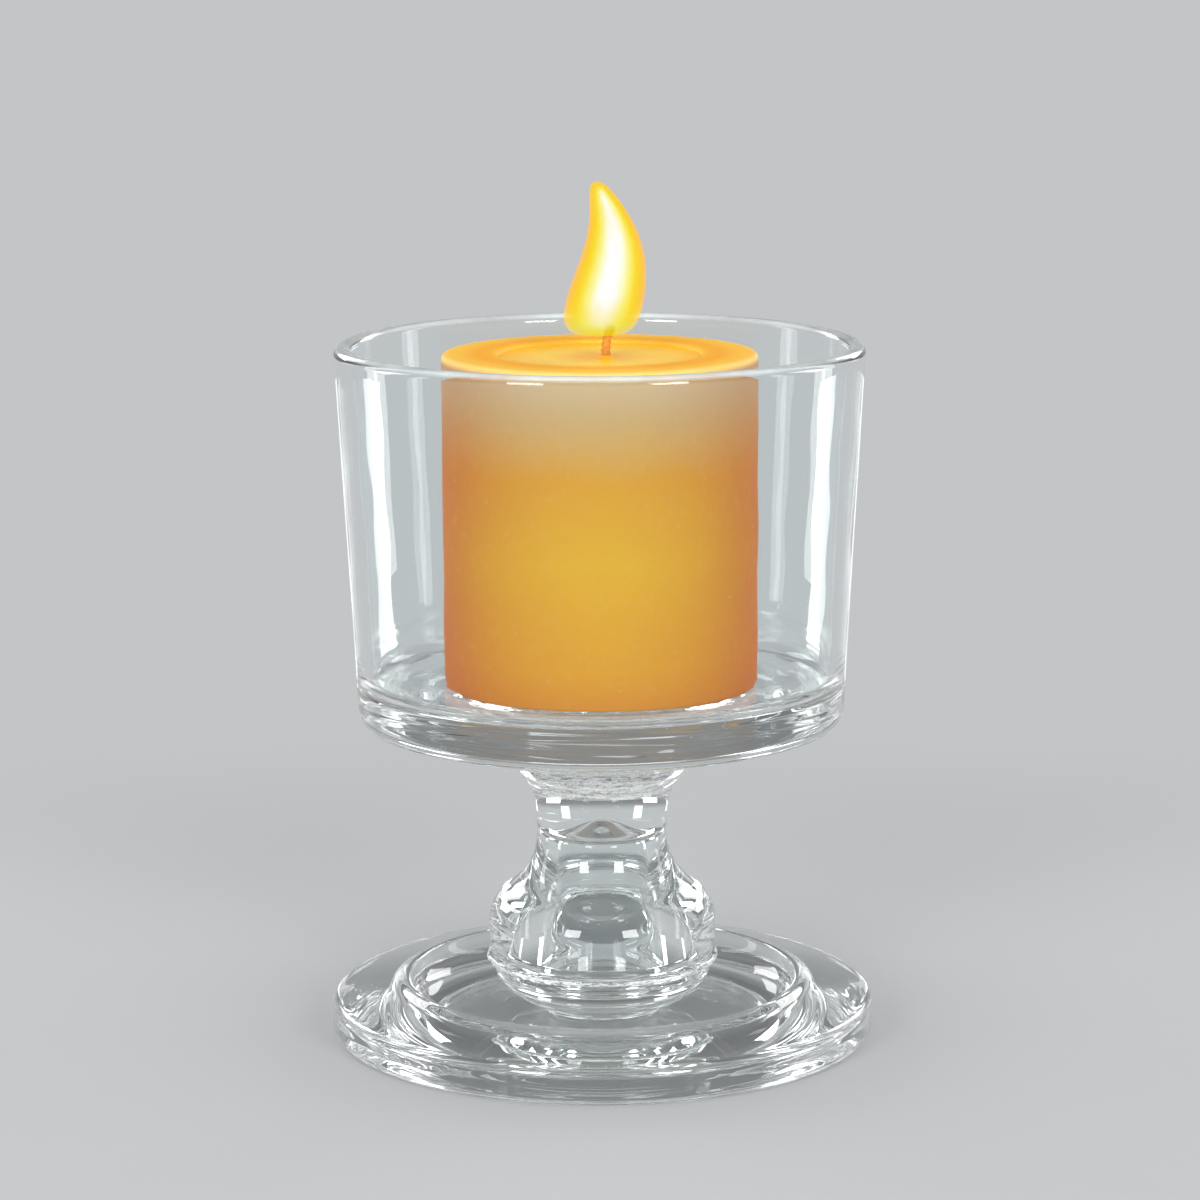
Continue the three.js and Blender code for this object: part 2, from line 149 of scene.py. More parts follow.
class Recipe:
    """The node tree of a material or of the world."""

    def __init__(self, tree: bpy.types.NodeTree) -> None:
        """Empties the tree.

        Args:
            tree: the node tree to fill.
        """
        self.tree = tree
        self.tree.nodes.clear()

    def node(self, kind: str, settings: dict | None = None, values: dict | None = None) -> bpy.types.Node:
        """Adds a node.

        Args:
            kind: the node's type.
            settings: its properties, set first; "stops" fills a colour ramp.
            values: what its inputs hold, by name or place: a number, a colour, a socket or a signal.

        Returns:
            The node.
        """
        made = self.tree.nodes.new(kind)
        for key, value in (settings or {}).items():
            if key == "stops":
                elements = made.color_ramp.elements
                while len(elements) < len(value):
                    elements.new(1.0)
                for element, (place, colour) in zip(elements, value):
                    element.position = place
                    element.color = (*colour, 1.0)
            else:
                setattr(made, key, value)
        for key, value in (values or {}).items():
            if isinstance(value, Signal):
                self.tree.links.new(value.socket, made.inputs[key])
            elif isinstance(value, bpy.types.NodeSocket):
                self.tree.links.new(value, made.inputs[key])
            elif isinstance(value, tuple) and len(value) == 3 and made.inputs[key].type == "RGBA":
                made.inputs[key].default_value = (*value, 1.0)
            else:
                made.inputs[key].default_value = value
        return made

    def place(self) -> bpy.types.NodeSocket:
        """The piece's own coordinates, in metres."""
        return self.node("ShaderNodeTexCoord").outputs["Object"]

    def axes(self, vector: bpy.types.NodeSocket) -> tuple[Signal, Signal, Signal]:
        """The three parts of a vector."""
        parts = self.node("ShaderNodeSeparateXYZ", None, {0: vector})
        return tuple(Signal(self, output) for output in parts.outputs)

    def off_axis(self) -> Signal:
        """Distance from the vertical through the origin, in metres."""
        along, across, _ = self.axes(self.place())
        return (along * along + across * across).root()

    def noise(self, size: float, detail: float = 2.0, rough: float = 0.5,
              stretch: Colour = (1.0, 1.0, 1.0)) -> Signal:
        """Smooth noise on the piece's own coordinates.

        Args:
            size: the width of its lumps, in millimetres.
            detail: how many finer layers it has.
            rough: how strong those are.
            stretch: how much longer the lumps are along each axis.

        Returns:
            Values about 0.5, mostly between 0.2 and 0.8.
        """
        scale = tuple(1.0 / s for s in stretch)
        mapped = self.node("ShaderNodeMapping", None, {"Vector": self.place(), "Scale": scale})
        return Signal(self, self.node("ShaderNodeTexNoise", None, {
            "Vector": mapped.outputs[0],
            "Scale": 1.0 / (size * MM),
            "Detail": detail,
            "Roughness": rough,
        }).outputs["Fac"])

    def specks(self, pitch: float, size: float) -> Signal:
        """Scattered specks: 1 where a point of a jumbled grid is near.

        Args:
            pitch: how far apart the points are, in millimetres.
            size: a speck's radius, in millimetres.

        Returns:
            Values from 0 to 1.
        """
        values = {"Vector": self.place(), "Scale": 1.0 / (pitch * MM), "Randomness": 1.0}
        nearest = Signal(self, self.node("ShaderNodeTexVoronoi", None, values).outputs["Distance"])
        return (size / pitch - nearest).between(0.0, 0.4 * size / pitch)

    def ray(self, *kinds: str) -> Signal:
        """1 for a ray of any of the kinds, which are outputs of the Light Path node, and 0 for others."""
        path = self.node("ShaderNodeLightPath")
        found = Signal(self, path.outputs[kinds[0]])
        for kind in kinds[1:]:
            found = found.larger(Signal(self, path.outputs[kind]))
        return found

    def bump(self, height: Signal, distance: float) -> bpy.types.NodeSocket:
        """A bumped normal; distance is the bump's height in millimetres."""
        return self.node("ShaderNodeBump", None, {"Height": height, "Distance": distance * MM}).outputs[0]

    def ramp(self, value: Signal, stops: Sequence[tuple[float, Colour]]) -> bpy.types.NodeSocket:
        """A colour that follows a value through a list of stops."""
        return self.node("ShaderNodeValToRGB", {"stops": stops}, {0: value}).outputs[0]

    def blend(self, share: Signal, first: object, second: object) -> bpy.types.NodeSocket:
        """A mix of two colours, each a socket or a plain colour."""
        return self.node("ShaderNodeMix", {"data_type": "RGBA"}, {0: share, 6: first, 7: second}).outputs[2]

    def principled(self, values: dict) -> bpy.types.NodeSocket:
        """A Principled shader with these inputs."""
        return self.node("ShaderNodeBsdfPrincipled", None, values).outputs[0]

    def join(self, share: Signal, first: bpy.types.NodeSocket,
             second: bpy.types.NodeSocket) -> bpy.types.NodeSocket:
        """A mix of two shaders."""
        return self.node("ShaderNodeMixShader", None, {0: share, 1: first, 2: second}).outputs[0]

    def surface(self, shader: bpy.types.NodeSocket) -> None:
        """Sends a shader to the material's surface."""
        self.node("ShaderNodeOutputMaterial", None, {"Surface": shader})


def linear(red: int, green: int, blue: int) -> Colour:
    """A colour written as on a screen, 0 to 255, as the linear values that shaders take."""
    shares = (channel / 255 for channel in (red, green, blue))
    return tuple(s / 12.92 if s <= 0.04045 else ((s + 0.055) / 1.055) ** 2.4 for s in shares)


def screen_stops(*stops: tuple[float, int, int, int]) -> list[tuple[float, Colour]]:
    """Stops for a ramp: each a place and a colour written as on a screen."""
    return [(place, linear(*colour)) for place, *colour in stops]


def scaled(colour: Colour, share: float) -> Colour:
    """A colour times a number."""
    return tuple(share * channel for channel in colour)


@dataclass(frozen=True)
class Finish:
    """A named finish; each kind fills the recipe of its own material."""

    name: str

    def make(self) -> bpy.types.Material:
        """Makes the material.

        Returns:
            The material, with its nodes.
        """
        material = bpy.data.materials.new(self.name)
        material.use_nodes = True
        self.fill(Recipe(material.node_tree))
        return material

    def fill(self, recipe: Recipe) -> None:
        """Adds the finish's nodes.

        Args:
            recipe: the empty tree of the material.
        """
        raise NotImplementedError


# ---------------------------------------------------------------- glass finishes


@dataclass(frozen=True)
class ClearGlass(Finish):
    """Polished pressed glass: faint flow ripples, smears and specks, and a shadow deeper at its edges."""

    tint: Colour = (0.942, 0.977, 0.976)
    smear: float = 0.035
    ripple_size: float = 6.0
    ripple_height: float = 0.0025
    speck_pitch: float = 3.8
    speck_size: float = 0.12
    shade: float = 0.93
    edge_shade: float = 0.75

    def fill(self, recipe: Recipe) -> None:
        """Glass with a few white specks for what looks at it, and a clear way for the light of the lamps."""
        smears = recipe.noise(30.0, 3.0, 0.6, (1.0, 1.0, 2.5)).between(0.52, 0.78)
        ripples = recipe.noise(self.ripple_size, 1.0, 0.4)
        glass = self.glass(recipe, smears * self.smear, recipe.bump(ripples, self.ripple_height))
        speck = recipe.principled({"Base Color": PALE_FLECK, "Roughness": 0.4})
        specks = recipe.specks(self.speck_pitch, self.speck_size)
        recipe.surface(self.pass_light(recipe, recipe.join(specks, glass, speck)))

    def glass(self, recipe: Recipe, roughness: Signal, normal: bpy.types.NodeSocket) -> bpy.types.NodeSocket:
        """The tinted glass itself.

        Args:
            recipe: the tree.
            roughness: how rough it is.
            normal: its bumped normal.

        Returns:
            The shader.
        """
        return recipe.principled({
            "Base Color": self.tint,
            "Roughness": roughness,
            "IOR": GLASS_IOR,
            "Transmission Weight": 1.0,
            "Normal": normal,
        })

    def pass_light(self, recipe: Recipe, shader: bpy.types.NodeSocket) -> bpy.types.NodeSocket:
        """Lets lamps through the glass, less where it is met edge on.

        Args:
            recipe: the tree.
            shader: what every other ray meets.

        Returns:
            The mixed shader.
        """
        light = recipe.ray("Is Shadow Ray", "Is Diffuse Ray")
        facing = Signal(recipe, recipe.node("ShaderNodeLayerWeight", None, {"Blend": 0.5}).outputs["Facing"])
        through = recipe.node("ShaderNodeBsdfTransparent", None, {"Color": (self.shade,) * 3})
        share = light * (1.0 - self.edge_shade * facing ** 3.0)
        return recipe.join(share, shader, through.outputs[0])


@dataclass(frozen=True)
class FusedGlass(ClearGlass):
    """Fused seam: drawn out in level wrinkles, half frosted, with white streaks of trapped air."""

    grain_size: float = 0.45
    grain_height: float = 0.03
    flecks: float = 0.92

    def fill(self, recipe: Recipe) -> None:
        """Rough glass with streaks of white mixed in."""
        grain = recipe.noise(self.grain_size, 4.0, 0.65, (7.0, 7.0, 1.0))
        specks = recipe.noise(self.grain_size * 1.2, 3.0, 0.6, (1.6, 1.6, 1.0))
        wrinkles = recipe.bump(grain, self.grain_height)
        glass = self.glass(recipe, 0.03 + 0.22 * specks.between(0.45, 0.7), wrinkles)
        fleck = recipe.principled({"Base Color": (0.97, 0.99, 0.99), "Roughness": 0.3, "Normal": wrinkles})
        share = (0.7 * grain + 0.3 * specks).between(0.42, 0.54) * self.flecks
        recipe.surface(self.pass_light(recipe, recipe.join(share, glass, fleck)))


@dataclass(frozen=True)
class LipGlass(ClearGlass):
    """Fire-polished lip: clear glass with a painted pale highlight towards its crest, uneven on its way
    round.
    """

    crest: float = 169.4
    depth: float = 1.9
    painted_crest_highlight: float = 0.62

    def fill(self, recipe: Recipe) -> None:
        """Glass mixed with a painted pale highlight that follows the height."""
        _, _, up = recipe.axes(recipe.place())
        uneven = recipe.noise(9.0, 3.0, 0.6)
        rise = up.between((self.crest - self.depth) * MM, (self.crest - 0.3 * self.depth) * MM)
        glass = self.glass(recipe, 0.01 + 0.05 * uneven, recipe.bump(uneven, self.ripple_height))
        # Painted highlight: a pale, matt layer towards the crest stands in for the bright lines that lamps
        # give the lip.
        pale = recipe.principled({"Base Color": (0.86, 0.93, 0.93), "Roughness": 0.12 + 0.1 * uneven})
        share = rise * rise * (0.6 + 0.8 * uneven) * self.painted_crest_highlight
        recipe.surface(self.pass_light(recipe, recipe.join(share, glass, pale)))


@dataclass(frozen=True)
class SeamFlecks(Finish):
    """The plane in which two glass bodies fused: unseen but for flecks and streaks of trapped air."""

    size: float = 0.8
    amount: float = 0.8
    rim: float = 19.0
    inner: float = 0.25

    def fill(self, recipe: Recipe) -> None:
        """A white surface that shows only in its flecks, most of them towards its rim."""
        radius = recipe.off_axis()
        outward = radius.between(self.rim * self.inner * MM, self.rim * MM)
        streaks = recipe.noise(self.size, 4.0, 0.7)
        edge = 0.62 - 0.1 * outward
        mask = (streaks - edge).between(0.0, 0.06) * outward.between(0.0, 0.2) * self.amount
        recipe.surface(recipe.principled({
            "Base Color": PALE_FLECK,
            "Roughness": 0.25,
            "Alpha": mask,
            "Normal": recipe.bump(streaks, 0.1),
        }))


@dataclass(frozen=True)
class UnseenJoint(Finish):
    """A joint face inside the fused glass, where light passes without bending."""

    def fill(self, recipe: Recipe) -> None:
        """A surface that isn't there for light."""
        recipe.surface(recipe.principled({"Alpha": 0.0}))


# ---------------------------------------------------------------- candle finishes


@dataclass(frozen=True)
class PillarWax(Finish):
    """Dyed paraffin: deep orange below, golden above, beige under the rim, with painted shade at its left and
    right sides, a pale underside that is partly painted light, and a bright ringed top with a painted glow.
    """

    foot: float = 86.9
    height: float = 80.0
    radius: float = 38.0
    # Pale underside colour: partly the wax's own pale foot, partly painted light that lifts the shade under
    # the candle.
    pale_underside: Colour = (0.84, 0.80, 0.72)
    # Strength of the painted glow that the wax top gives of its own.
    painted_glow: float = 0.16

    def fill(self, recipe: Recipe) -> None:
        """Side colours follow height, with painted shade deepening to orange at the left and right sides; top
        colours follow the radius; a pale underside shows below, partly the wax's own and partly painted light
        in the shaded gap.
        """
        along, _, up = recipe.axes(recipe.place())
        mottle = recipe.noise(14.0, 4.0, 0.55)
        level = (up - self.foot * MM) / (self.height * MM) + 0.05 * (mottle - 0.5)
        side = recipe.ramp(level, screen_stops(
            (0.00, 226, 146, 22), (0.12, 231, 164, 22), (0.44, 233, 181, 24), (0.68, 226, 165, 30),
            (0.86, 212, 177, 116), (0.97, 211, 187, 148), (1.00, 216, 193, 154),
        ))
        # Painted shade: the wax turns deeper orange towards the left and right sides (along X), standing in
        # for the darker sides of a lit round candle.
        sideways = along / (self.radius * MM) + 0.12 * (mottle - 0.5)
        edge = sideways * sideways
        painted_side_shade = edge * (0.45 + 0.33 * edge) * (1.0 - 0.6 * level.between(0.6, 0.95))
        side = recipe.blend(painted_side_shade, side, linear(230, 96, 0))
        radius = recipe.off_axis() / (self.radius * MM)
        top = recipe.ramp(radius, screen_stops(
            (0.64, 254, 190, 66), (0.70, 250, 176, 54), (0.77, 248, 168, 46), (0.85, 254, 188, 66),
            (0.95, 255, 198, 78), (1.00, 255, 214, 130),
        ))
        crown = self.foot + self.height
        on_top = up.between((crown - 2.2) * MM, (crown - 0.5) * MM)
        # The pale underside is partly the wax's own pale foot and partly painted light that lifts the shade
        # in the gap under the candle.
        pale_underside = ((self.foot + 0.6) * MM - up).between(0.0, 0.5 * MM) * (0.97 - radius).between(0.0, 0.02)
        colour = recipe.blend(pale_underside, recipe.blend(on_top, side, top), self.pale_underside)
        bloom = recipe.noise(2.2, 3.0, 0.6)
        recipe.surface(recipe.principled({
            "Base Color": recipe.blend(0.1 * bloom.between(0.5, 0.8), colour, linear(255, 214, 150)),
            "Roughness": 0.42 + 0.2 * mottle,
            "Subsurface Weight": 0.3,
            "Subsurface Radius": (1.0, 0.42, 0.12),
            "Subsurface Scale": 0.006,
            "Specular IOR Level": 0.08,
            # Painted glow: the top of the wax gives light of its own, standing in for the flame lighting it.
            "Emission Color": recipe.blend(on_top, (0.0, 0.0, 0.0), scaled(linear(255, 176, 30), self.painted_glow)),
            "Emission Strength": 1.0,
            "Normal": recipe.bump(recipe.noise(1.1, 3.0, 0.6) + 2.0 * mottle, 0.02),
        }))


@dataclass(frozen=True)
class MoltenWax(Finish):
    """Clear melted wax: wet, lightest in a ring round the wick."""

    radius: float = 24.3

    def fill(self, recipe: Recipe) -> None:
        """Rings of colour under a wet coat, with a painted orange glow."""
        radius = recipe.off_axis() / (self.radius * MM)
        swirl = recipe.noise(9.0, 2.0, 0.5)
        rings = recipe.ramp(radius + 0.08 * (swirl - 0.5), screen_stops(
            (0.00, 253, 172, 44), (0.18, 254, 184, 54), (0.56, 255, 208, 72), (0.76, 255, 202, 64),
            (0.92, 254, 190, 50), (1.00, 254, 180, 44),
        ))
        recipe.surface(recipe.principled({
            "Base Color": rings,
            "Roughness": 0.16 + 0.16 * swirl,
            "Subsurface Weight": 0.2,
            "Subsurface Radius": (1.0, 0.5, 0.15),
            "Subsurface Scale": 0.004,
            "Specular IOR Level": 0.05,
            "Coat Weight": 0.01 + 0.05 * swirl,
            "Coat Roughness": 0.05,
            # Painted glow: the pool gives orange light of its own, standing in for the flame lighting it.
            "Emission Color": recipe.blend(swirl, (0.15, 0.07, 0.004), (0.21, 0.11, 0.008)),
            "Emission Strength": 1.0,
            "Normal": recipe.bump(swirl, 0.05),
        }))


@dataclass(frozen=True)
class WickCotton(Finish):
    """Waxed braided cotton, browner towards its burnt tip."""

    low: float = 165.9
    high: float = 174.0

    def fill(self, recipe: Recipe) -> None:
        """Fibres along the strand, and a burn that follows the height."""
        _, _, up = recipe.axes(recipe.place())
        fibres = recipe.noise(0.35, 4.0, 0.7, (1.0, 1.0, 5.0))
        level = (up - self.low * MM) / ((self.high - self.low) * MM) + 0.3 * (fibres - 0.5)
        burn = recipe.ramp(level, screen_stops(
            (0.00, 196, 122, 40), (0.35, 206, 140, 50), (0.75, 214, 152, 58), (1.00, 120, 70, 26),
        ))
        recipe.surface(recipe.principled({
            "Base Color": recipe.blend(0.5 * fibres, burn, linear(236, 170, 84)),
            "Roughness": 0.62 + 0.3 * fibres,
            "Sheen Weight": 0.2,
            "Normal": recipe.bump(fibres, 0.12),
        }))


@dataclass(frozen=True)
class TinnedSteel(Finish):
    """Stamped tin plate: fine scratches and dull smudges of wax."""

    def fill(self, recipe: Recipe) -> None:
        """Metal with a varying roughness."""
        scratches = recipe.noise(0.5, 4.0, 0.7, (8.0, 1.0, 1.0))
        smudges = recipe.noise(4.0, 2.0, 0.5)
        tone = recipe.ramp(smudges, [(0.3, (0.50, 0.51, 0.53)), (0.7, (0.66, 0.67, 0.69))])
        recipe.surface(recipe.principled({
            "Base Color": tone,
            "Metallic": 1.0,
            "Roughness": 0.24 + 0.25 * smudges + 0.12 * scratches,
            "Normal": recipe.bump(scratches, 0.02),
        }))


@dataclass(frozen=True)
class FlameLight(Finish):
    """One layer of burning gas: its light and its thinness run from the foot over the belly to the tip."""

    low: float
    high: float
    lights: tuple[Colour, Colour, Colour]
    densities: tuple[float, float, float]

    def fill(self, recipe: Recipe) -> None:
        """Light of its own, let through by its thinness."""
        _, _, up = recipe.axes(recipe.place())
        level = (up - self.low * MM) / ((self.high - self.low) * MM)
        level = level + 0.05 * (recipe.noise(7.0, 1.0, 0.5, (1.0, 1.0, 2.0)) - 0.5)
        strength = max(max(light) for light in self.lights)
        foot, belly, tip = (scaled(light, 1.0 / strength) for light in self.lights)
        colour = recipe.ramp(level, [
            (0.03, foot),
            (0.24, belly),
            (0.62, belly),
            (0.95, tip),
        ])
        thin, thick, end = self.densities
        rise = thin + (thick - thin) * level.between(0.0, 0.16)
        recipe.surface(recipe.principled({
            "Base Color": (0.0, 0.0, 0.0),
            "Roughness": 1.0,
            "Specular IOR Level": 0.0,
            "Emission Color": colour,
            "Emission Strength": strength,
            "Alpha": rise + (end - thick) * level.between(0.75, 1.0),
        }))


@dataclass(frozen=True)
class StudioPaper(Finish):
    """Matt pale paper: it takes the object's shadow near by, and is the backdrop's plain tone far away."""

    colour: Colour = (0.60, 0.613, 0.625)
    near: float = 170.0
    far: float = 380.0

    def fill(self, recipe: Recipe) -> None:
        """Paper with the faintest grain, mixed by the distance into the tone that the backdrop shows."""
        radius = recipe.off_axis()
        grain = recipe.noise(40.0, 3.0, 0.5)
        low = scaled(self.colour, 0.985)
        paper = recipe.principled({
            "Base Color": recipe.blend(grain, low, self.colour),
            "Roughness": 0.85,
            "Specular IOR Level": 0.2,
        })
        tone = recipe.node("ShaderNodeEmission", None, {"Color": BACKDROP, "Strength": 1.0})
        seen = recipe.ray("Is Camera Ray", "Is Glossy Ray", "Is Transmission Ray")
        share = seen * radius.between(self.near * MM, self.far * MM)
        recipe.surface(recipe.join(share, paper, tone.outputs[0]))


# ---------------------------------------------------------------- turned surfaces


def line(*points: tuple[float, ...]) -> np.ndarray:
    """Points given one by one: radius, height and, where the middle is off the axis, its x."""
    return np.array([(*point, 0.0)[:3] for point in points], float)


def track(radius: np.ndarray, height: np.ndarray, middle: np.ndarray | float = 0.0) -> np.ndarray:
    """Points from one array each of radii, heights and, where the middle is off the axis, its x."""
    return np.stack(np.broadcast_arrays(radius, height, middle), 1).astype(float)


def bend(radius: float, height: float, width: float, rise: float, start: float, stop: float,
         steps: int) -> np.ndarray:
    """Part of an ellipse: the middle plus width times the cosine and rise times the sine of the angle.

    Args:
        radius: the middle's distance from the axis.
        height: the middle's height.
        width: half the ellipse's width.
        rise: half its height.
        start: first angle in degrees from the outward direction.
        stop: last angle.
        steps: how many parts it is cut into.

    Returns:
        Points of radius, height and x of the middle.
    """
    angle = np.radians(np.linspace(start, stop, steps + 1))
    return track(radius + width * np.cos(angle), height + rise * np.sin(angle))


def arc(radius: float, height: float, reach: float, start: float, stop: float, steps: int) -> np.ndarray:
    """Part of a circle, given like bend's ellipse."""
    return bend(radius, height, reach, reach, start, stop, steps)


def resample(points: np.ndarray, step: float) -> np.ndarray:
    """Points spaced evenly along a chain, about a step apart, its ends kept."""
    lengths = np.linalg.norm(np.diff(points, axis=0), axis=1)
    reach = np.concatenate([[0.0], np.cumsum(lengths)])
    count = max(2, int(round(reach[-1] / step)) + 1)
    wanted = np.linspace(0.0, reach[-1], count)
    return np.stack([np.interp(wanted, reach, column) for column in points.T], 1)


def soften(points: np.ndarray, rounds: int) -> np.ndarray:
    """Rounds corners: each point but the ends takes half of itself and a quarter of each neighbour."""
    smooth = points.copy()
    for _ in range(rounds):
        smooth[1:-1] = 0.5 * smooth[1:-1] + 0.25 * (smooth[:-2] + smooth[2:])
    return smooth


def ease(value: np.ndarray) -> np.ndarray:
    """Rises smoothly from 0 at 0 to 1 at 1: three times the square less twice the cube."""
    share = np.clip(value, 0.0, 1.0)
    return share * share * (3.0 - 2.0 * share)


@dataclass(frozen=True)
class Ripple:
    """Unevenness of a formed surface: sines round the axis and along the outline, with fixed random phases.

    The rise at angle a and reach s is height times the sum of sin(k a + 2 pi q s + p) over the waves,
    scaled to a mean square of height squared, and eased in and out at the band's ends and past a radius.
    """

    height: float
    around: tuple[int, int]
    along: tuple[float, float]
    seed: int
    band: tuple[float, float] = (-1000.0, 1000.0)
    edge: float = 2.5
    waves: int = 9
    beyond: float = 3.0

    def rise(self, angle: np.ndarray, reach: np.ndarray, level: np.ndarray, radius: np.ndarray) -> np.ndarray:
        """The rise over a grid.

        Args:
            angle: angles round the axis, one row.
            reach: distance along the outline, one column.
            level: height of each outline point, one column.
            radius: radius of each outline point, one column.

        Returns:
            Millimetres along the surface's normal, one row per outline point.
        """
        chance = np.random.default_rng(self.seed)
        total = np.zeros((reach.shape[0], angle.shape[1]))
        for _ in range(self.waves):
            turns = chance.integers(self.around[0], self.around[1] + 1)
            pitch = chance.uniform(*self.along) * chance.choice([-1.0, 1.0])
            total += np.sin(turns * angle + TURN * pitch * reach + chance.uniform(0.0, TURN))
        window = ease((level - self.band[0]) / self.edge) * ease((self.band[1] - level) / self.edge)
        window = window * ease(radius / self.beyond - 1.0)
        return self.height * math.sqrt(2.0 / self.waves) * window * total


@dataclass(frozen=True)
class Run:
    """One stretch of an outline: its points, material slot, spacing and rounds of softening."""

    points: np.ndarray
    slot: int = 0
    step: float = 0.5
    rounds: int = 0


@dataclass
class Turned:
    """A surface turned round the vertical through its middle.

    The outline runs with the solid on its left, so that outward is to its right. A point at reach s and
    angle a stands at (x + R cos a, R sin a, z), where R and z are the outline's radius and height moved
    along the outward normal by the ripples. The outline starts and ends on the axis, or closes on itself.
    Its heights are above the base, which is above the table.
    """

    name: str
    runs: Sequence[Run]
    segments: int = 192
    ripples: Sequence[Ripple] = ()
    base: float = 0.0

    def chain(self) -> tuple[np.ndarray, np.ndarray]:
        """Joins the runs.

        Returns:
            The outline's points, and the slot of each stretch between two of them.
        """
        points: list[np.ndarray] = []
        slots: list[np.ndarray] = []
        for run in self.runs:
            part = soften(resample(run.points, run.step), run.rounds)
            points.append(part[1:] if points else part)
            slots.append(np.full(len(part) - 1, run.slot))
        return np.concatenate(points), np.concatenate(slots)

    def moved(self, points: np.ndarray, slots: np.ndarray) -> tuple[np.ndarray, np.ndarray]:
        """Radii and heights on the whole grid, with the ripples.

        Args:
            points: the outline.
            slots: the slot of each stretch.

        Returns:
            Two arrays, a row per outline point and a column per angle.
        """
        angle = np.linspace(0.0, TURN, self.segments, endpoint=False)[None, :]
        tangent = np.gradient(points[:, :2], axis=0)
        tangent /= np.maximum(np.linalg.norm(tangent, axis=1, keepdims=True), 1e-9)
        lengths = np.linalg.norm(np.diff(points, axis=0), axis=1)
        reach = np.concatenate([[0.0], np.cumsum(lengths)])
        rise = np.zeros((len(points), self.segments))
        for ripple in self.ripples:
            rise += ripple.rise(angle, reach[:, None], points[:, 1:2], points[:, 0:1])
        still = np.zeros(len(points), bool)
        still[:-1] |= slots == Skin.JOINT
        still[1:] |= slots == Skin.JOINT
        if still.any():
            gap = np.abs(reach[:, None] - reach[None, still]).min(axis=1)
            rise *= ease(gap / 2.0)[:, None]
        rise *= ease(points[:, 0] / 4.0)[:, None]
        radius = points[:, 0:1] + tangent[:, 1:2] * rise
        height = points[:, 1:2] - tangent[:, 0:1] * rise
        return radius, height

    def build(self, materials: Sequence[bpy.types.Material]) -> bpy.types.Object:
        """Makes the object.

        Args:
            materials: the material of each slot.

        Returns:
            The object, at the origin, linked to the scene.
        """
        points, slots = self.chain()
        radius, height = self.moved(points, slots)
        closed = bool(np.allclose(points[0], points[-1], atol=1e-9))
        angle = np.linspace(0.0, TURN, self.segments, endpoint=False)[None, :]
        grid = np.stack([
            points[:, 2:3] + radius * np.cos(angle),
            radius * np.sin(angle),
            height + 0.0 * angle + self.base,
        ], axis=2) * MM
        around = self.segments
        rings = grid[:-1] if closed else grid[1:-1]
        faces = ring_faces(len(rings), around, closed).tolist()
        if closed:
            vertices = rings.reshape(-1, 3)
            face_slots = np.repeat(slots, around)
        else:
            poles = np.stack([grid[0].mean(axis=0), grid[-1].mean(axis=0)])
            vertices = np.concatenate([rings.reshape(-1, 3), poles])
            faces += cap_faces(len(rings), around)
            face_slots = np.repeat(np.concatenate([slots[1:-1], slots[:1], slots[-1:]]), around)
        piece = mesh_object(self.name, vertices, faces, face_slots, materials)
        change = np.flatnonzero(np.diff(slots)) + 1
        sharp = change if closed else change - 1
        if closed and slots[0] != slots[-1]:
            sharp = np.append(sharp, 0)
        mark_sharp(piece.data, sharp, around)
        return piece


def ring_faces(rings: int, around: int, closed: bool = False) -> np.ndarray:
    """Quads between neighbouring rings of a grid that is closed round each ring.

    Args:
        rings: how many rings it has.
        around: vertices in a ring.
        closed: whether the last ring joins the first.

    Returns:
        Vertex numbers, one row of four for each face.
    """
    column = np.arange(around)
    after = np.roll(column, -1)
    number = np.arange(rings if closed else rings - 1)[:, None]
    row, row_after = number * around, (number + 1) % rings * around
    return np.stack([row + column, row + after, row_after + after, row_after + column], 2).reshape(-1, 4)


def cap_faces(rings: int, around: int) -> list[list[int]]:
    """Triangles that close a grid's first and last ring with the two vertices that follow the grid's."""
    column = np.arange(around)
    after = np.roll(column, -1)
    last_ring, pole = (rings - 1) * around, np.full(around, rings * around)
    first_cap = np.stack([pole, after, column], 1)
    last_cap = np.stack([last_ring + column, last_ring + after, pole + 1], 1)
    return np.concatenate([first_cap, last_cap]).tolist()


def mesh_object(name: str, vertices: np.ndarray, faces: list, slots: np.ndarray | None,
                materials: Sequence[bpy.types.Material]) -> bpy.types.Object:
    """Puts a grid of vertices and faces into a new smooth-shaded object.

    Args:
        name: the piece's name.
        vertices: places in metres.
        faces: vertex numbers of each face.
        slots: material slot of each face, or None for the first.
        materials: the materials.

    Returns:
        The object, linked to the scene.
    """
    mesh = bpy.data.meshes.new(name)
    mesh.from_pydata(vertices.tolist(), [], faces)
    for material in materials:
        mesh.materials.append(material)
    if slots is not None:
        mesh.polygons.foreach_set("material_index", slots.astype(np.int32))
    mesh.polygons.foreach_set("use_smooth", np.ones(len(mesh.polygons), bool))
    mesh.update()
    piece = bpy.data.objects.new(name, mesh)
    bpy.context.scene.collection.objects.link(piece)
    return piece


def mark_sharp(mesh: bpy.types.Mesh, rings: np.ndarray, around: int) -> None:
    """Keeps the shading of two finishes apart along the rings where they meet.

    Args:
        mesh: the turned mesh.
        rings: the numbers of those rings.
        around: vertices in a ring.
    """
    if not len(rings):
        return
    ends = np.empty(len(mesh.edges) * 2, np.int32)
    mesh.edges.foreach_get("vertices", ends)
    ring = ends.reshape(-1, 2) // around
    sharp = (ring[:, 0] == ring[:, 1]) & np.isin(ring[:, 0], rings)
    attribute = mesh.attributes.new("sharp_edge", "BOOLEAN", "EDGE")
    attribute.data.foreach_set("value", sharp)
    mesh.update()


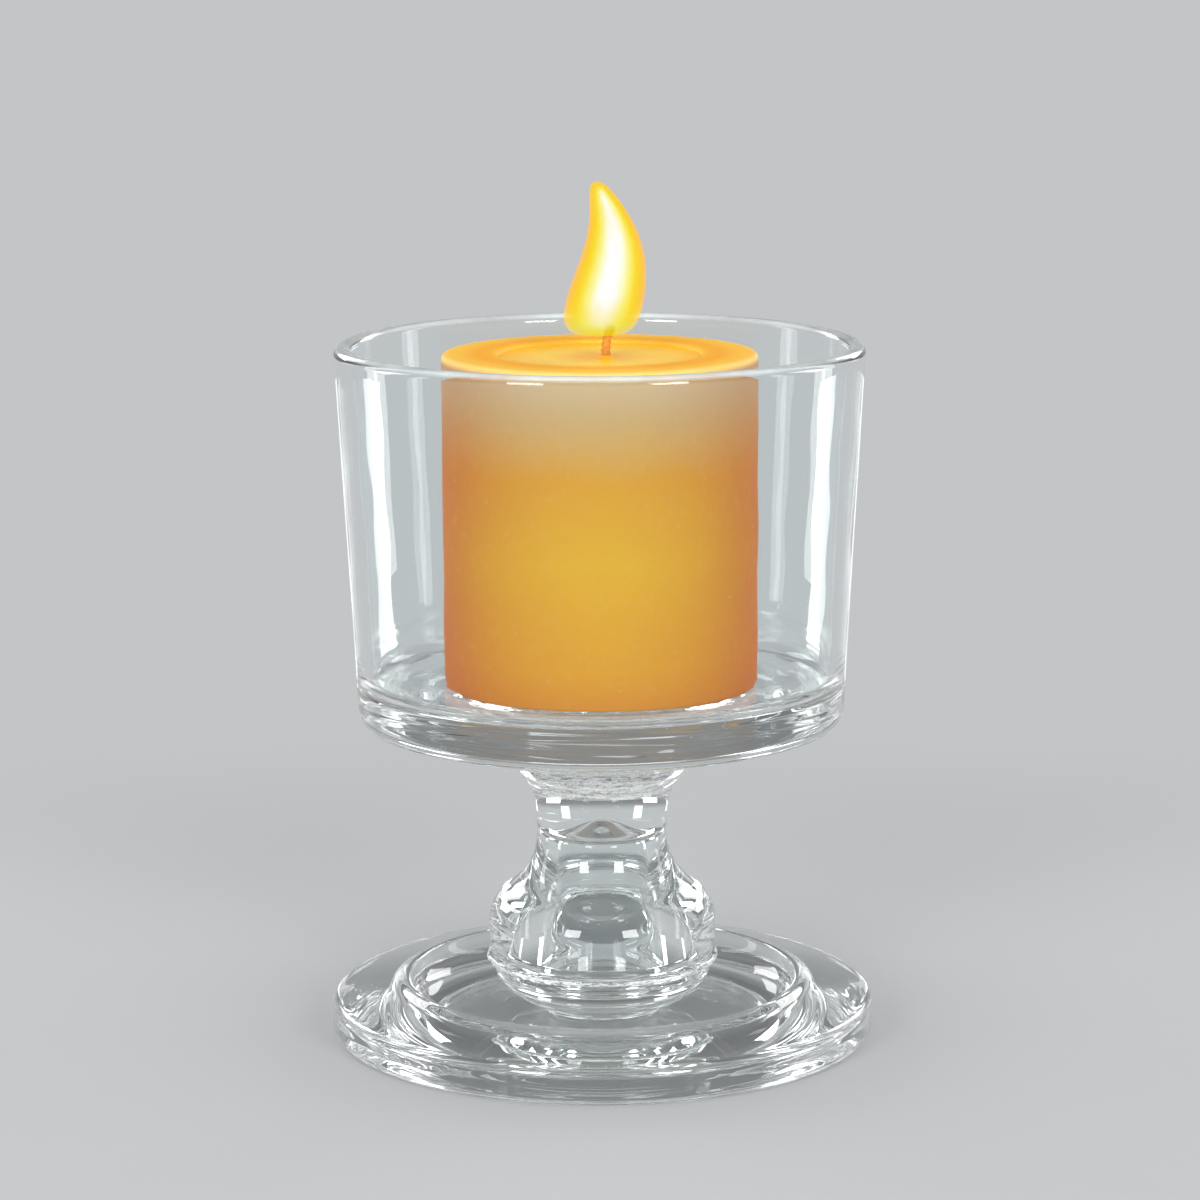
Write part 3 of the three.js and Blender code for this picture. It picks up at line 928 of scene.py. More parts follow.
def fit_out(piece: bpy.types.Object, body: Body, node: str) -> bpy.types.Object:
    """Rides a piece on its body, in place of its CAD node.

    Args:
        piece: the piece.
        body: the body it moves with.
        node: the CAD node it stands for.

    Returns:
        The piece.
    """
    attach(piece, body.value)
    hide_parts(node)
    LOG.info("%s: %d faces", piece.name, len(piece.data.polygons))
    return piece


def level_of(node: str) -> tuple[float, float]:
    """The lowest and highest level of a CAD node, in millimetres."""
    low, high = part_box(node)
    return low.z / MM, high.z / MM


# ---------------------------------------------------------------- glass pieces


class GlassPiece:
    """One piece of the fused glass, turned from the outline of its kind."""

    node: ClassVar[str]
    slot: ClassVar[str]
    segments: ClassVar[int]
    ripples: ClassVar[tuple[Ripple, ...]]

    def outline(self) -> list[Run]:
        """The outline above the piece's own foot, with the material slot of each stretch."""
        raise NotImplementedError

    def build(self, *skins: bpy.types.Material) -> bpy.types.Object:
        """Makes the piece.

        Args:
            skins: its materials, in the order of Skin.

        Returns:
            The piece, on its CAD node's foot.
        """
        foot, _ = level_of(self.node)
        shape = Turned(f"{self.node}_glass", self.outline(), self.segments, self.ripples, foot)
        return fit_out(shape.build(skins), Body.HOLDER, self.node)


@dataclass
class BaseDish(GlassPiece):
    """Round base: upright edge, rising flange, raised ring, dished floor and a bowl-shaped boss."""

    node = "base_dish"
    slot = "clear_glass"
    segments = 384
    ripples = (
        Ripple(0.006, (1, 4), (0.01, 0.06), 11, band=(1.6, 15.0)),
        Ripple(0.005, (0, 1), (0.30, 0.60), 12, band=(1.6, 8.4), edge=1.0),
    )

    radius: float = 66.5
    edge_height: float = 8.9
    shoulder: float = 1.9
    under_edge: float = 1.2
    ring_foot: float = 52.4
    flange_rise: float = 2.6
    ring_width: float = 5.2
    ring_rise: float = 1.8
    crest_round: float = 0.6
    floor_thickness: float = 4.6
    side_width: float = 12.0
    boss: float = BOSS_RADIUS
    boss_height: float = 12.2
    bowl_width: float = 18.5
    bowl_height: float = 10.0
    bowl_turn: float = 75.0
    rim_height: float = 1.2
    seam_inner: float = SEAM_INNER

    def outline(self) -> list[Run]:
        """The outline from the middle of the underside to the middle of the boss."""
        ring_level = self.edge_height + self.flange_rise
        share = np.linspace(0.0, 1.0, 13)
        ring = track(self.ring_foot - (self.ring_width - self.crest_round) * share,
                     ring_level + self.ring_rise * (1.0 - np.cos(math.pi * share)) / 2.0)
        crest = ring_level + self.ring_rise
        side_top = crest - self.crest_round
        side_foot = self.ring_foot - self.ring_width - self.side_width
        top = self.floor_thickness + self.boss_height
        bowl_top = top - self.rim_height
        turn = math.radians(self.bowl_turn)
        waist = self.boss - self.bowl_width * (1.0 - math.cos(turn))
        fillet = bowl_top - self.bowl_height * math.sin(turn) - self.floor_thickness
        edge = self.radius - self.under_edge
        shoulder = self.radius - self.shoulder
        body = np.concatenate([
            arc(edge, self.under_edge, self.under_edge, -90, 0, 8),
            arc(shoulder, self.edge_height - self.shoulder, self.shoulder, 0, 90, 10),
            ring,
            bend(side_foot, side_top, self.side_width, side_top - self.floor_thickness, 0, -90, 24),
            arc(waist + fillet, self.floor_thickness + fillet, fillet, -90, -180, 8),
            bend(self.boss - self.bowl_width, bowl_top, self.bowl_width, self.bowl_height,
                 -self.bowl_turn, 0, 24),
            line((self.boss, top)),
        ])
        return [
            Run(line((0.0, 0.0), (edge, 0.0)), step=1.6),
            Run(body, step=0.52, rounds=3),
            Run(line((self.boss, top), (self.seam_inner, top)), Skin.JOINT, step=2.0),
            Run(line((self.seam_inner, top), (0.0, top)), step=1.2),
        ]


@dataclass
class FootWeld(GlassPiece):
    """Fused ring between boss and bell: a bead that swells and thins outside, a plain wall inside."""

    node = "foot_weld"
    slot = "fused_glass"
    segments = 384
    ripples = (
        Ripple(0.07, (3, 17), (0.0, 0.1), 21, waves=14, beyond=14.0),
        Ripple(0.03, (24, 70), (0.0, 0.3), 22, waves=18, beyond=14.0),
    )

    height: float = WELD_HEIGHT
    bead: float = 1.9
    boss: float = BOSS_RADIUS
    inner: float = SEAM_INNER
    bead_step: float = 0.16
    rough: float = 26.0
    slit: float = SEAM_SLIT

    def bead_arc(self, start: float, stop: float) -> np.ndarray:
        """Part of the bead's half ellipse, between two angles in degrees from its crest."""
        half = self.height / 2.0
        return bend(self.boss, half, self.bead, half - self.slit, start, stop, 12)

    def outline(self) -> list[Run]:
        """A closed outline: joint faces a hair inside the seam, and wrinkles only on the bead's crest."""
        low, high = self.slit, self.height - self.slit
        return [
            Run(line((self.inner, low), (self.boss, low)), Skin.JOINT, step=1.2),
            Run(self.bead_arc(-90.0, -self.rough), step=self.bead_step),
            Run(self.bead_arc(-self.rough, self.rough), Skin.FUSED, step=self.bead_step),
            Run(self.bead_arc(self.rough, 90.0), step=self.bead_step),
            Run(line((self.boss, high), (self.inner, high)), Skin.JOINT, step=1.2),
            Run(line((self.inner, high), (self.inner, low)), Skin.CLEAR, step=0.5),
        ]


@dataclass
class Flare:
    """The trumpet curve from the neck into the cup's underside: neck radius plus an arc's fall-away."""

    neck: float = 15.85
    round: float = 20.9

    def radius(self, rise: np.ndarray | float) -> np.ndarray:
        """Radius at a height above the neck."""
        return self.neck + self.round - np.sqrt(self.round ** 2 - np.asarray(rise, float) ** 2)

    def part(self, low: float, high: float, shift: float, steps: int = 16) -> np.ndarray:
        """Outline between two heights above the neck, its foot set at a piece's own height."""
        rise = np.linspace(low, high, steps + 1)
        return track(self.radius(rise), shift + rise - low)


@dataclass
class BellStem(GlassPiece):
    """Bell: a bulb drawn in to a narrow neck, over a tapering domed hollow. Heights are above its foot."""

    node = "bell_stem"
    slot = "clear_glass"
    segments = 288
    ripples = (
        Ripple(0.006, (2, 7), (0.01, 0.06), 31),
        Ripple(0.002, (5, 12), (0.04, 0.12), 32),
    )

    bulb: float = 27.85
    bulb_level: float = 7.5
    bulb_round: float = 10.8
    mouth_inset: float = 0.65
    rim_width: float = 12.3
    bulb_to_neck: float = 22.5
    neck_length: float = 3.0
    neck_wall: float = 5.45
    cavity_depth: float = 30.2
    nub_rise: float = 5.0
    nub_radius: float = 8.3
    shoulder: float = 1.2
    fused_height: float = 1.4
    seam_inner: float = SEAM_INNER
    seam_outer: float = BOSS_RADIUS
    weld_angle: float = WELD_ANGLE
    flare: Flare = field(default_factory=Flare)

    def outline(self) -> list[Run]:
        """The outline from the hollow's crown round the rim and up to the middle of the seam."""
        mouth = self.bulb - self.mouth_inset
        hollow = mouth - self.rim_width
        crown = self.flare.neck - self.neck_wall
        lower = (self.bulb_level ** 2 + self.mouth_inset ** 2) / (2.0 * self.mouth_inset)
        lower_turn = math.degrees(math.asin(self.bulb_level / lower))
        centre = self.bulb - self.bulb_round
        across = self.flare.neck - centre
        rise = self.bulb_to_neck
        neck_round = (across ** 2 + rise ** 2 - self.bulb_round ** 2) / (2.0 * (self.bulb_round - across))
        touch = math.degrees(math.atan2(rise, across + neck_round))
        neck_low = self.bulb_level + rise
        neck_high = neck_low + self.neck_length
        weld = self.flare.round * math.sin(math.radians(self.weld_angle))
        top = neck_high + weld
        fused = weld - self.fused_height
        share = np.linspace(0.0, 1.0, 25)
        nub = track(self.nub_radius * share,
                    self.cavity_depth + self.nub_rise * (1.0 + np.cos(math.pi * share)) / 2.0)
        turn = self.shoulder
        inside = np.concatenate([
            nub,
            arc(crown - turn, self.cavity_depth - turn, turn, 90, 0, 8),
            line((hollow, 0.0)),
        ])
        outside = np.concatenate([
            line((self.seam_outer, 0.0)),
            arc(self.bulb - lower, self.bulb_level, lower, -lower_turn, 0, 10),
            arc(centre, self.bulb_level, self.bulb_round, 0, touch, 30)[1:],
            arc(self.flare.neck + neck_round, neck_low, neck_round, 180 + touch, 180, 24)[1:],
            self.flare.part(0.0, fused, neck_high),
        ])
        return [
            Run(inside, step=0.3, rounds=4),
            Run(line((hollow, 0.0), (self.seam_inner, 0.0)), step=0.2),
            Run(line((self.seam_inner, 0.0), (self.seam_outer, 0.0)), Skin.JOINT, step=2.0),
            Run(outside, step=0.3, rounds=3),
            Run(self.flare.part(fused, weld, top - self.fused_height), Skin.FUSED, step=0.2),
            Run(line((float(self.flare.radius(weld)), top), (0.0, top)), Skin.JOINT, step=2.0),
        ]


@dataclass
class NeckWeld(GlassPiece):
    """Fused disc between the bell's flare and the cup's, wrinkled where it meets the air."""

    node = "neck_weld"
    slot = "fused_glass"
    segments = 320
    ripples = (Ripple(0.05, (9, 48), (0.1, 0.5), 41, waves=20),)

    height: float = WELD_HEIGHT
    bead: float = 0.25
    weld_angle: float = WELD_ANGLE
    slit: float = SEAM_SLIT
    flare: Flare = field(default_factory=Flare)

    def outline(self) -> list[Run]:
        """Disc from axis to axis, its flat faces a hair inside the seam."""
        rise = self.flare.round * math.sin(math.radians(self.weld_angle))
        low, high = float(self.flare.radius(rise)), float(self.flare.radius(rise + self.height))
        share = np.linspace(0.0, 1.0, 17)
        side = self.flare.part(rise, rise + self.height, 0.0)
        side[:, 0] += self.bead * np.sin(math.pi * share)
        side[:, 1] = self.slit + (self.height - 2.0 * self.slit) * share
        return [
            Run(line((0.0, self.slit), (low, self.slit)), Skin.JOINT, step=1.0),
            Run(side, Skin.FUSED, step=0.14),
            Run(line((high, self.height - self.slit), (0.0, self.height - self.slit)), Skin.JOINT, step=1.0),
        ]


@dataclass
class HurricaneCup(GlassPiece):
    """Cup: flare's end, rising underside, rounded heel, drafted wall, round lip and a thick ringed floor.

    Heights are above the cup's own foot. Slow waves run up its wall, with fine level lines low down.
    """

    node = "hurricane_cup"
    slot = "clear_glass"
    segments = 240
    ripples = (
        Ripple(0.010, (2, 7), (0.002, 0.02), 51, band=(3.0, 103.0)),
        Ripple(0.010, (1, 4), (0.28, 0.62), 52, band=(9.0, 34.0), edge=8.0, waves=12),
        Ripple(0.006, (8, 30), (0.01, 0.05), 53, band=(10.0, 100.0), waves=14),
    )

    radius: float = 63.7
    height: float = 92.3
    draft: float = 4.8
    wall: float = 4.2
    floor_thickness: float = 9.5
    floor_fillet: float = 4.5
    underside_rise: float = 6.8
    heel_width: float = 2.5
    heel_height: float = 4.8
    clear_from: float = 26.0
    weld_angle: float = WELD_ANGLE
    end_angle: float = 61.1
    weld_height: float = WELD_HEIGHT
    plunger_ring: float = 26.0
    plunger_step: float = 0.09
    plunger_width: float = 0.7
    floor_ring_pitch: float = 3.1
    floor_ring_depth: float = 0.012
    ring_pitch: float = 5.6
    ring_depth: float = 0.05
    flare: Flare = field(default_factory=Flare)

    def floor(self, level: float, start: float) -> np.ndarray:
        """Floor from the fillet to the axis: level, with one low step and faint rings left by the plunger.

        Args:
            level: the floor's height.
            start: radius at which the fillet ends.

        Returns:
            Outline points from the fillet inwards.
        """
        radius = np.linspace(start, 0.0, 160)
        step = self.plunger_step * np.exp(-((radius - self.plunger_ring) / self.plunger_width) ** 2)
        rings = self.floor_ring_depth * np.sin(TURN * radius / self.floor_ring_pitch)
        rings = rings * ease(radius / 10.0) * ease((start - radius) / 4.0)
        return track(radius, level + step + rings)

    def underside(self, start: float, foot: float, stop: float, top: float) -> np.ndarray:
        """Underside from the flare to the heel: a straight rise with faint rings, eased in and out.

        Args:
            start: radius at which the flare ends.
            foot: height there.
            stop: radius at which the heel starts.
            top: height there.

        Returns:
            Outline points from the flare outwards, without the last one.
        """
        share = np.linspace(0.0, 1.0, 80)[:-1]
        waves = np.sin(TURN * share * (stop - start) / self.ring_pitch)
        rings = self.ring_depth * waves * ease(6.0 * share) * ease(6.0 - 6.0 * share)
        return track(start + (stop - start) * share, foot + (top - foot) * share + rings)

    def outline(self) -> list[Run]:
        """The outline from the middle of the seam to the middle of the floor."""
        rise = self.flare.round * math.sin(math.radians(self.weld_angle)) + self.weld_height
        end = self.flare.round * math.sin(math.radians(self.end_angle))
        under = end - rise + self.underside_rise
        level = under + self.floor_thickness
        rim = under + self.height
        foot = self.radius - self.draft
        slope = self.draft / self.height
        heel_top = under + self.heel_height
        heel = foot + slope * self.heel_height - self.heel_width
        lip = self.wall / 2.0
        lip_foot = rim - lip
        fillet = self.floor_fillet
        fillet_top = level + fillet
        inner = foot + slope * (self.floor_thickness + fillet) - self.wall
        inner_rim = self.radius - self.wall
        split = heel_top + self.clear_from
        outer_split = (foot + slope * (split - under), split)
        inner_split = (inner + (inner_rim - inner) * (split - fillet_top) / (lip_foot - fillet_top), split)
        fused = self.flare.part(rise, end, 0.0)
        lip_arc = arc(self.radius - lip, lip_foot, lip, 0, 180, 24)
        below = np.concatenate([
            self.underside(float(fused[-1, 0]), fused[-1, 1], heel, under),
            bend(heel, heel_top, self.heel_width, self.heel_height, -90, 0, 16),
            line(outer_split),
        ])
        inside = np.concatenate([
            line(inner_split),
            arc(inner - fillet, fillet_top, fillet, 0, -90, 16),
            self.floor(level, inner - fillet)[1:],
        ])
        return [
            Run(line((0.0, 0.0), (float(self.flare.radius(rise)), 0.0)), Skin.JOINT, step=2.0),
            Run(fused, Skin.FUSED, step=0.2),
            Run(below, step=0.5, rounds=3),
            Run(np.stack([line(outer_split)[0], lip_arc[0]]), step=2.0),
            Run(lip_arc, Skin.LIP, step=0.3),
            Run(line((inner_rim, lip_foot), inner_split), step=2.0),
            Run(inside, step=0.5, rounds=3),
        ]


# ---------------------------------------------------------------- candle


@dataclass
class PillarCandle:
    """Pillar candle: wax, melted pool, wick, sustainer and flame. Heights are above the candle's foot."""

    radius: float = 38.0
    height: float = 80.0
    edge_round: float = 0.8
    gap: float = 0.3
    pool_radius: float = 24.0
    pool_depth: float = 1.6
    pool_drop: float = 1.0
    pool_slit: float = 0.06
    bore_slit: float = 0.12
    rim_skin: tuple[float, float] = (0.34, 0.55)
    bore_skin: tuple[float, float] = (0.5, 0.5)
    wick_radius: float = 1.2
    strand_groove: float = 0.17
    strand_pitch: float = 4.4
    tip_round: float = 0.8
    wick_x: float = 1.5
    wick_shown: float = 7.6
    wick_lean: float = 1.6
    bend_share: float = 0.2
    knee_share: float = 0.65
    tab_radius: float = 9.0
    tab_thickness: float = 0.5
    collar_wall: float = 0.6
    collar_height: float = 5.0
    collar_fillet: float = 0.35
    tab_round: float = 0.2
    rib_radii: tuple[float, ...] = (6.6, 4.6)
    rib_rise: float = 0.1
    rib_width: float = 0.35
    flame_height: float = 36.6
    flame_radius: float = 9.3
    flame_lean: float = 3.4
    lean_power: float = 1.4
    lean_turn: float = 1.05
    foot_power: float = 0.2
    tip_power: float = 0.8
    tip_fullness: float = 0.55
    flame_overlap: float = 2.2
    flame_layers: int = 14
    layer_inset: float = 0.86
    layer_foot: float = 0.07
    layer_tip: float = 0.08
    layer_slide: float = 0.5

    def __post_init__(self) -> None:
        """Reads where the candle stands from the CAD model."""
        self.foot = level_of("pillar_wax")[0]

    def wax(self) -> bpy.types.Object:
        """Wax body: a closed outline whose middle slides from the axis to the wick's bore."""
        edge = self.edge_round
        hollow = self.pool_radius + self.gap
        floor = self.height - self.pool_drop - self.pool_depth
        bore = self.wick_radius + self.gap
        collar = bore + self.collar_wall + self.gap
        tab = self.tab_radius + self.gap
        tab_top = self.tab_thickness + self.gap
        collar_top = tab_top + self.collar_height
        x = self.wick_x
        drop = self.pool_drop
        outside = np.concatenate([
            arc(self.radius - edge, edge, edge, -90, 0, 8),
            arc(self.radius - edge, self.height - edge, edge, 0, 90, 8),
            arc(hollow + drop, self.height - drop, drop, 90, 180, 8),
            line((hollow, floor)),
        ])
        runs = [
            Run(line((tab, 0.0, x), (self.radius - edge, 0.0)), step=1.2),
            Run(outside, step=0.45, rounds=2),
            Run(line((hollow, floor), (bore, floor, x)), step=1.5),
            Run(line((bore, floor, x), (bore, collar_top, x)), step=4.0),
            Run(line((bore, collar_top, x), (collar, collar_top, x)), step=0.4),
            Run(line((collar, collar_top, x), (collar, tab_top, x)), step=1.0),
            Run(line((collar, tab_top, x), (tab, tab_top, x)), step=1.0),
            Run(line((tab, tab_top, x), (tab, 0.0, x)), step=0.4),
        ]
        ripples = (
            Ripple(0.035, (2, 11), (0.004, 0.03), 61, band=(2.0, 79.0)),
            Ripple(0.010, (5, 30), (0.05, 0.2), 62, band=(2.0, 79.5)),
        )
        shape = Turned("pillar_wax_body", runs, 192, ripples, base=self.foot)
        piece = shape.build([PillarWax("orange_wax_look", self.foot, self.height, self.radius).make()])
        return fit_out(piece, Body.CANDLE, "pillar_wax")

    def pool(self) -> bpy.types.Object:
        """Melted wax: a disc with a skin drawn up, by a rise over a width, at its rim and at the wick."""
        top = self.height - self.pool_drop
        low = top - self.pool_depth
        rim = self.pool_radius + self.gap - self.pool_slit
        hole = self.wick_radius + self.bore_slit
        x = self.wick_x
        share = np.linspace(0.0, 1.0, 90)
        radius = rim + (hole - rim) * share
        (rise, width), (bore_rise, bore_width) = self.rim_skin, self.bore_skin
        skin = rise * np.exp(-(rim - radius) / width) + bore_rise * np.exp(-(radius - hole) / bore_width)
        surface = track(radius, top - 0.02 + skin, x * ease(share))
        runs = [
            Run(line((hole, low, x), (rim, low)), step=2.0),
            Run(np.concatenate([line((rim, low)), surface]), step=0.3, rounds=1),
            Run(line((hole, float(surface[-1, 1]), x), (hole, low, x)), step=0.5),
        ]
        ripples = (Ripple(0.012, (1, 5), (0.03, 0.12), 71, band=(78.5, 81.0), edge=0.3),)
        shape = Turned("melt_pool_wax", runs, 192, ripples, base=self.foot)
        piece = shape.build([MoltenWax("molten_wax_look", rim).make()])
        return fit_out(piece, Body.CANDLE, "melt_pool")

    def wick(self) -> bpy.types.Object:
        """Wick: three twisted strands swept along a straight line and a quadratic curve.

        The radius is the strand's, less the groove's share of it times the absolute sine of one and a half
        times the angle less the twist, and it closes with a rounded tip.
        """
        pool = self.height - self.pool_drop
        start = np.array([self.wick_x, pool + self.wick_shown * self.bend_share])
        knee = np.array([self.wick_x, pool + self.wick_shown * self.knee_share])
        tip = np.array([self.wick_x + self.wick_lean, pool + self.wick_shown - 0.05])
        straight = np.linspace([self.wick_x, self.tab_thickness + 0.02], start, 200, endpoint=False)
        share = np.linspace(0.0, 1.0, 60)[:, None]
        curve = (1 - share) ** 2 * start + 2 * share * (1 - share) * knee + share ** 2 * tip
        centre = np.concatenate([straight, curve])
        tangent = np.gradient(centre, axis=0)
        tangent /= np.linalg.norm(tangent, axis=1, keepdims=True)
        reach = np.concatenate([[0.0], np.cumsum(np.linalg.norm(np.diff(centre, axis=0), axis=1))])
        around = 36
        angle = np.linspace(0.0, TURN, around, endpoint=False)[None, :]
        twist = TURN * reach[:, None] / self.strand_pitch
        strand = 1.0 - self.strand_groove * np.abs(np.sin(1.5 * (angle - twist)))
        end = np.clip((reach[-1] - reach) / self.tip_round, 0.0, 1.0)
        close = np.sqrt(np.maximum(1.0 - (1.0 - end) ** 2, 0.02))
        radius = (self.wick_radius - 0.01) * strand * close[:, None]
        out = np.stack([tangent[:, 1], -tangent[:, 0]], 1)
        grid = np.stack([
            centre[:, 0:1] + radius * np.cos(angle) * out[:, 0:1],
            radius * np.sin(angle),
            centre[:, 1:2] + radius * np.cos(angle) * out[:, 1:2] + self.foot,
        ], axis=2) * MM
        poles = np.insert(centre[[0, -1]], 1, 0.0, axis=1) + (0.0, 0.0, self.foot)
        vertices = np.concatenate([grid.reshape(-1, 3), poles * MM])
        faces = ring_faces(len(centre), around).tolist() + cap_faces(len(centre), around)
        finish = WickCotton("wick_cotton_look", self.foot + pool, self.foot + float(tip[1]))
        piece = mesh_object("candle_wick_strand", vertices, faces, None, [finish.make()])
        return fit_out(piece, Body.CANDLE, "candle_wick")

    def sustainer(self) -> bpy.types.Object:
        """Sustainer: a stamped tin disc with a turned edge, two pressed rings and a crimped collar."""
        grip = self.wick_radius + self.gap
        outer = grip + self.collar_wall
        thick = self.tab_thickness
        top = thick + self.collar_height
        x = self.wick_x
        fillet, edge = self.collar_fillet, self.tab_round
        radius = np.linspace(self.tab_radius - 0.15, outer + fillet, 60)
        ribs = sum(self.rib_rise * np.exp(-((radius - rib) / self.rib_width) ** 2) for rib in self.rib_radii)
        face = track(radius, thick - 0.12 + ribs, x)
        shift = np.array([0.0, 0.0, x])
        runs = [
            Run(line((0.0, 0.02, x), (self.tab_radius - edge, 0.02, x)), step=0.8),
            Run(np.concatenate([
                arc(self.tab_radius - edge, 0.02 + edge, edge, -90, 90, 8) + shift,
                face,
                bend(outer + fillet, thick + 0.3, fillet, 0.42, -90, -180, 6) + shift,
                line((outer, top - 0.2, x), (outer - 0.15, top, x)),
                line((grip + 0.1, top, x), (grip, top - 0.15, x)),
            ]), step=0.12, rounds=2),
            Run(line((grip, top - 0.15, x), (grip, thick, x)), step=0.6),
            Run(line((grip, thick, x), (0.0, thick, x)), step=0.3),
        ]
        shape = Turned("wick_sustainer_tin", runs, 96, (), base=self.foot)
        piece = shape.build([TinnedSteel("tinned_steel_look").make()])
        return fit_out(piece, Body.CANDLE, "wick_sustainer")

    def flame_layer(self, name: str, width: float, low: float, high: float, slide: float,
                    finish: FlameLight) -> bpy.types.Object:
        """One closed layer of the flame.

        Its radius at share t of its own height is width times t to the foot's power times (1 - t) to the
        tip's power, over that product's greatest value, and a little more just below the tip: width times
        the tip's fullness times t to the eighth power times (1 - t) to the power 0.4.
        Its middle leans by the sine of the flame's share.

        Args:
            name: the piece's name.
            width: its greatest radius.
            low: share of the flame's height at which it starts.
            high: share at which it ends.
            slide: how far its middle moves towards +X.
            finish: its light.

        Returns:
            The object.
        """
        bottom = self.height - self.pool_drop + self.wick_shown - self.flame_overlap
        own = (1.0 - np.cos(np.linspace(0.0, math.pi, 90))) / 2.0
        share = low + (high - low) * own
        widest = self.foot_power / (self.foot_power + self.tip_power)
        peak = widest ** self.foot_power * (1.0 - widest) ** self.tip_power
        radius = own ** self.foot_power * (1.0 - own) ** self.tip_power / peak
        radius = width * (radius + self.tip_fullness * own ** 8 * (1.0 - own) ** 0.4)
        lean = self.flame_lean * np.sin(math.pi * self.lean_turn * share ** self.lean_power)
        height = bottom + self.flame_height * share
        points = track(radius, height, lean + slide * np.sin(math.pi * own))
        shape = Turned(name, [Run(points, step=0.4)], 96, (), base=self.foot)
        return shape.build([finish.make()])

    @staticmethod
    def layer_lights(tones: Sequence[tuple[float, Colour]], depths: np.ndarray, densities: np.ndarray,
                     behind: float = 0.5) -> np.ndarray:
        """The light that each layer gives so that the flame seen through its first n layers has tone n.

        Looking through n layers, each is met twice. The outer layers' light is known, so the light of
        layer n is what is missing from tone n, over the share of it that comes through.

        Args:
            tones: the tone to reach at depths from 0, the outline, to 1, the middle.
            depths: depth of each layer, from the outside in.
            densities: how much each layer hides of what is behind it.
            behind: tone of what stands behind the flame.

        Returns:
            One colour for each layer.
        """
        at = [depth for depth, _ in tones]
        wanted = np.stack([np.interp(depths, at, [colour[i] for _, colour in tones]) for i in range(3)], 1)
        lights = np.zeros_like(wanted)
        front, back, through = np.zeros(3), np.zeros(3), 1.0
        for n, density in enumerate(densities):
            after = through * (1.0 - density)
            missing = wanted[n] - front - after * (1.0 - density) * back - after * after * behind
            lights[n] = np.clip(missing / (density * (through + after)), 0.0, 12.0)
            front = front + through * density * lights[n]
            back = density * lights[n] + (1.0 - density) * back
            through = after
        return lights

    def flame(self) -> list[bpy.types.Object]:
        """Flame: thin layers of light inside one another, amber at the outline and white down the middle."""
        low = self.foot + self.height - self.pool_drop + self.wick_shown - self.flame_overlap
        depths = np.linspace(0.0, 1.0, self.flame_layers)
        base = 0.13 + 0.34 * np.exp(-depths / 0.1)
        amber, gold, lemon = linear(252, 194, 8), linear(253, 210, 22), linear(251, 230, 76)
        pale, cream, white = linear(253, 246, 150), linear(255, 254, 222), linear(255, 255, 255)
        belly = [(0.0, amber), (0.22, gold), (0.42, lemon), (0.62, pale), (0.8, cream), (0.95, white)]
        tip = [(0.0, linear(244, 200, 34)), (0.4, linear(250, 222, 62)), (0.75, pale), (1.0, cream)]
        foot = [(0.0, linear(232, 208, 64)), (0.5, linear(240, 230, 104)), (1.0, linear(244, 236, 170))]
        factors = (0.6, 1.0, 0.9)
        lights = [self.layer_lights(tones, depths, base * factor)
                  for tones, factor in zip((foot, belly, tip), factors)]
        pieces = []
        for n, depth in enumerate(depths.tolist()):
            finish = FlameLight(
                f"flame_look_{n + 1:02d}", low, low + self.flame_height,
                tuple(tuple(light[n].tolist()) for light in lights),
                tuple(float(base[n]) * factor for factor in factors),
            )
            width = self.flame_radius * (1.0 - self.layer_inset * depth)
            piece = self.flame_layer(
                f"flame_layer_{n + 1:02d}", width, self.layer_foot * depth, 1.0 - self.layer_tip * depth,
                self.layer_slide * depth, finish,
            )
            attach(piece, Body.CANDLE.value)
            LOG.info("%s: %d faces", piece.name, len(piece.data.polygons))
            pieces.append(piece)
        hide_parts("candle_flame")
        return pieces

    def build(self) -> None:
        """Makes every piece of the candle."""
        self.wax()
        self.pool()
        self.wick()
        self.sustainer()
        self.flame()


# ---------------------------------------------------------------- studio


@dataclass(frozen=True)
class SoftBox:
    """A rectangular softbox that faces the object: its share is the white card's tone that it alone gives."""

    name: str
    azimuth: float
    distance: float
    height: float
    width: float
    tall: float
    share: float

    def hang(self, aim: Vector) -> None:
        """Places the lamp.

        Args:
            aim: the point it faces.
        """
        lamp = bpy.data.lights.new(self.name, "AREA")
        lamp.shape = "RECTANGLE"
        lamp.size = self.width
        lamp.size_y = self.tall
        turn = math.radians(self.azimuth)
        spot = Vector((self.distance * math.sin(turn), -self.distance * math.cos(turn), self.height))
        lamp.energy = math.pi ** 2 * self.share * (spot - aim).length ** 2
        box = bpy.data.objects.new(self.name, lamp)
        box.location = spot
        box.rotation_euler = (aim - spot).to_track_quat("-Z", "Y").to_euler()
        box.visible_camera = False
        bpy.context.scene.collection.objects.link(box)


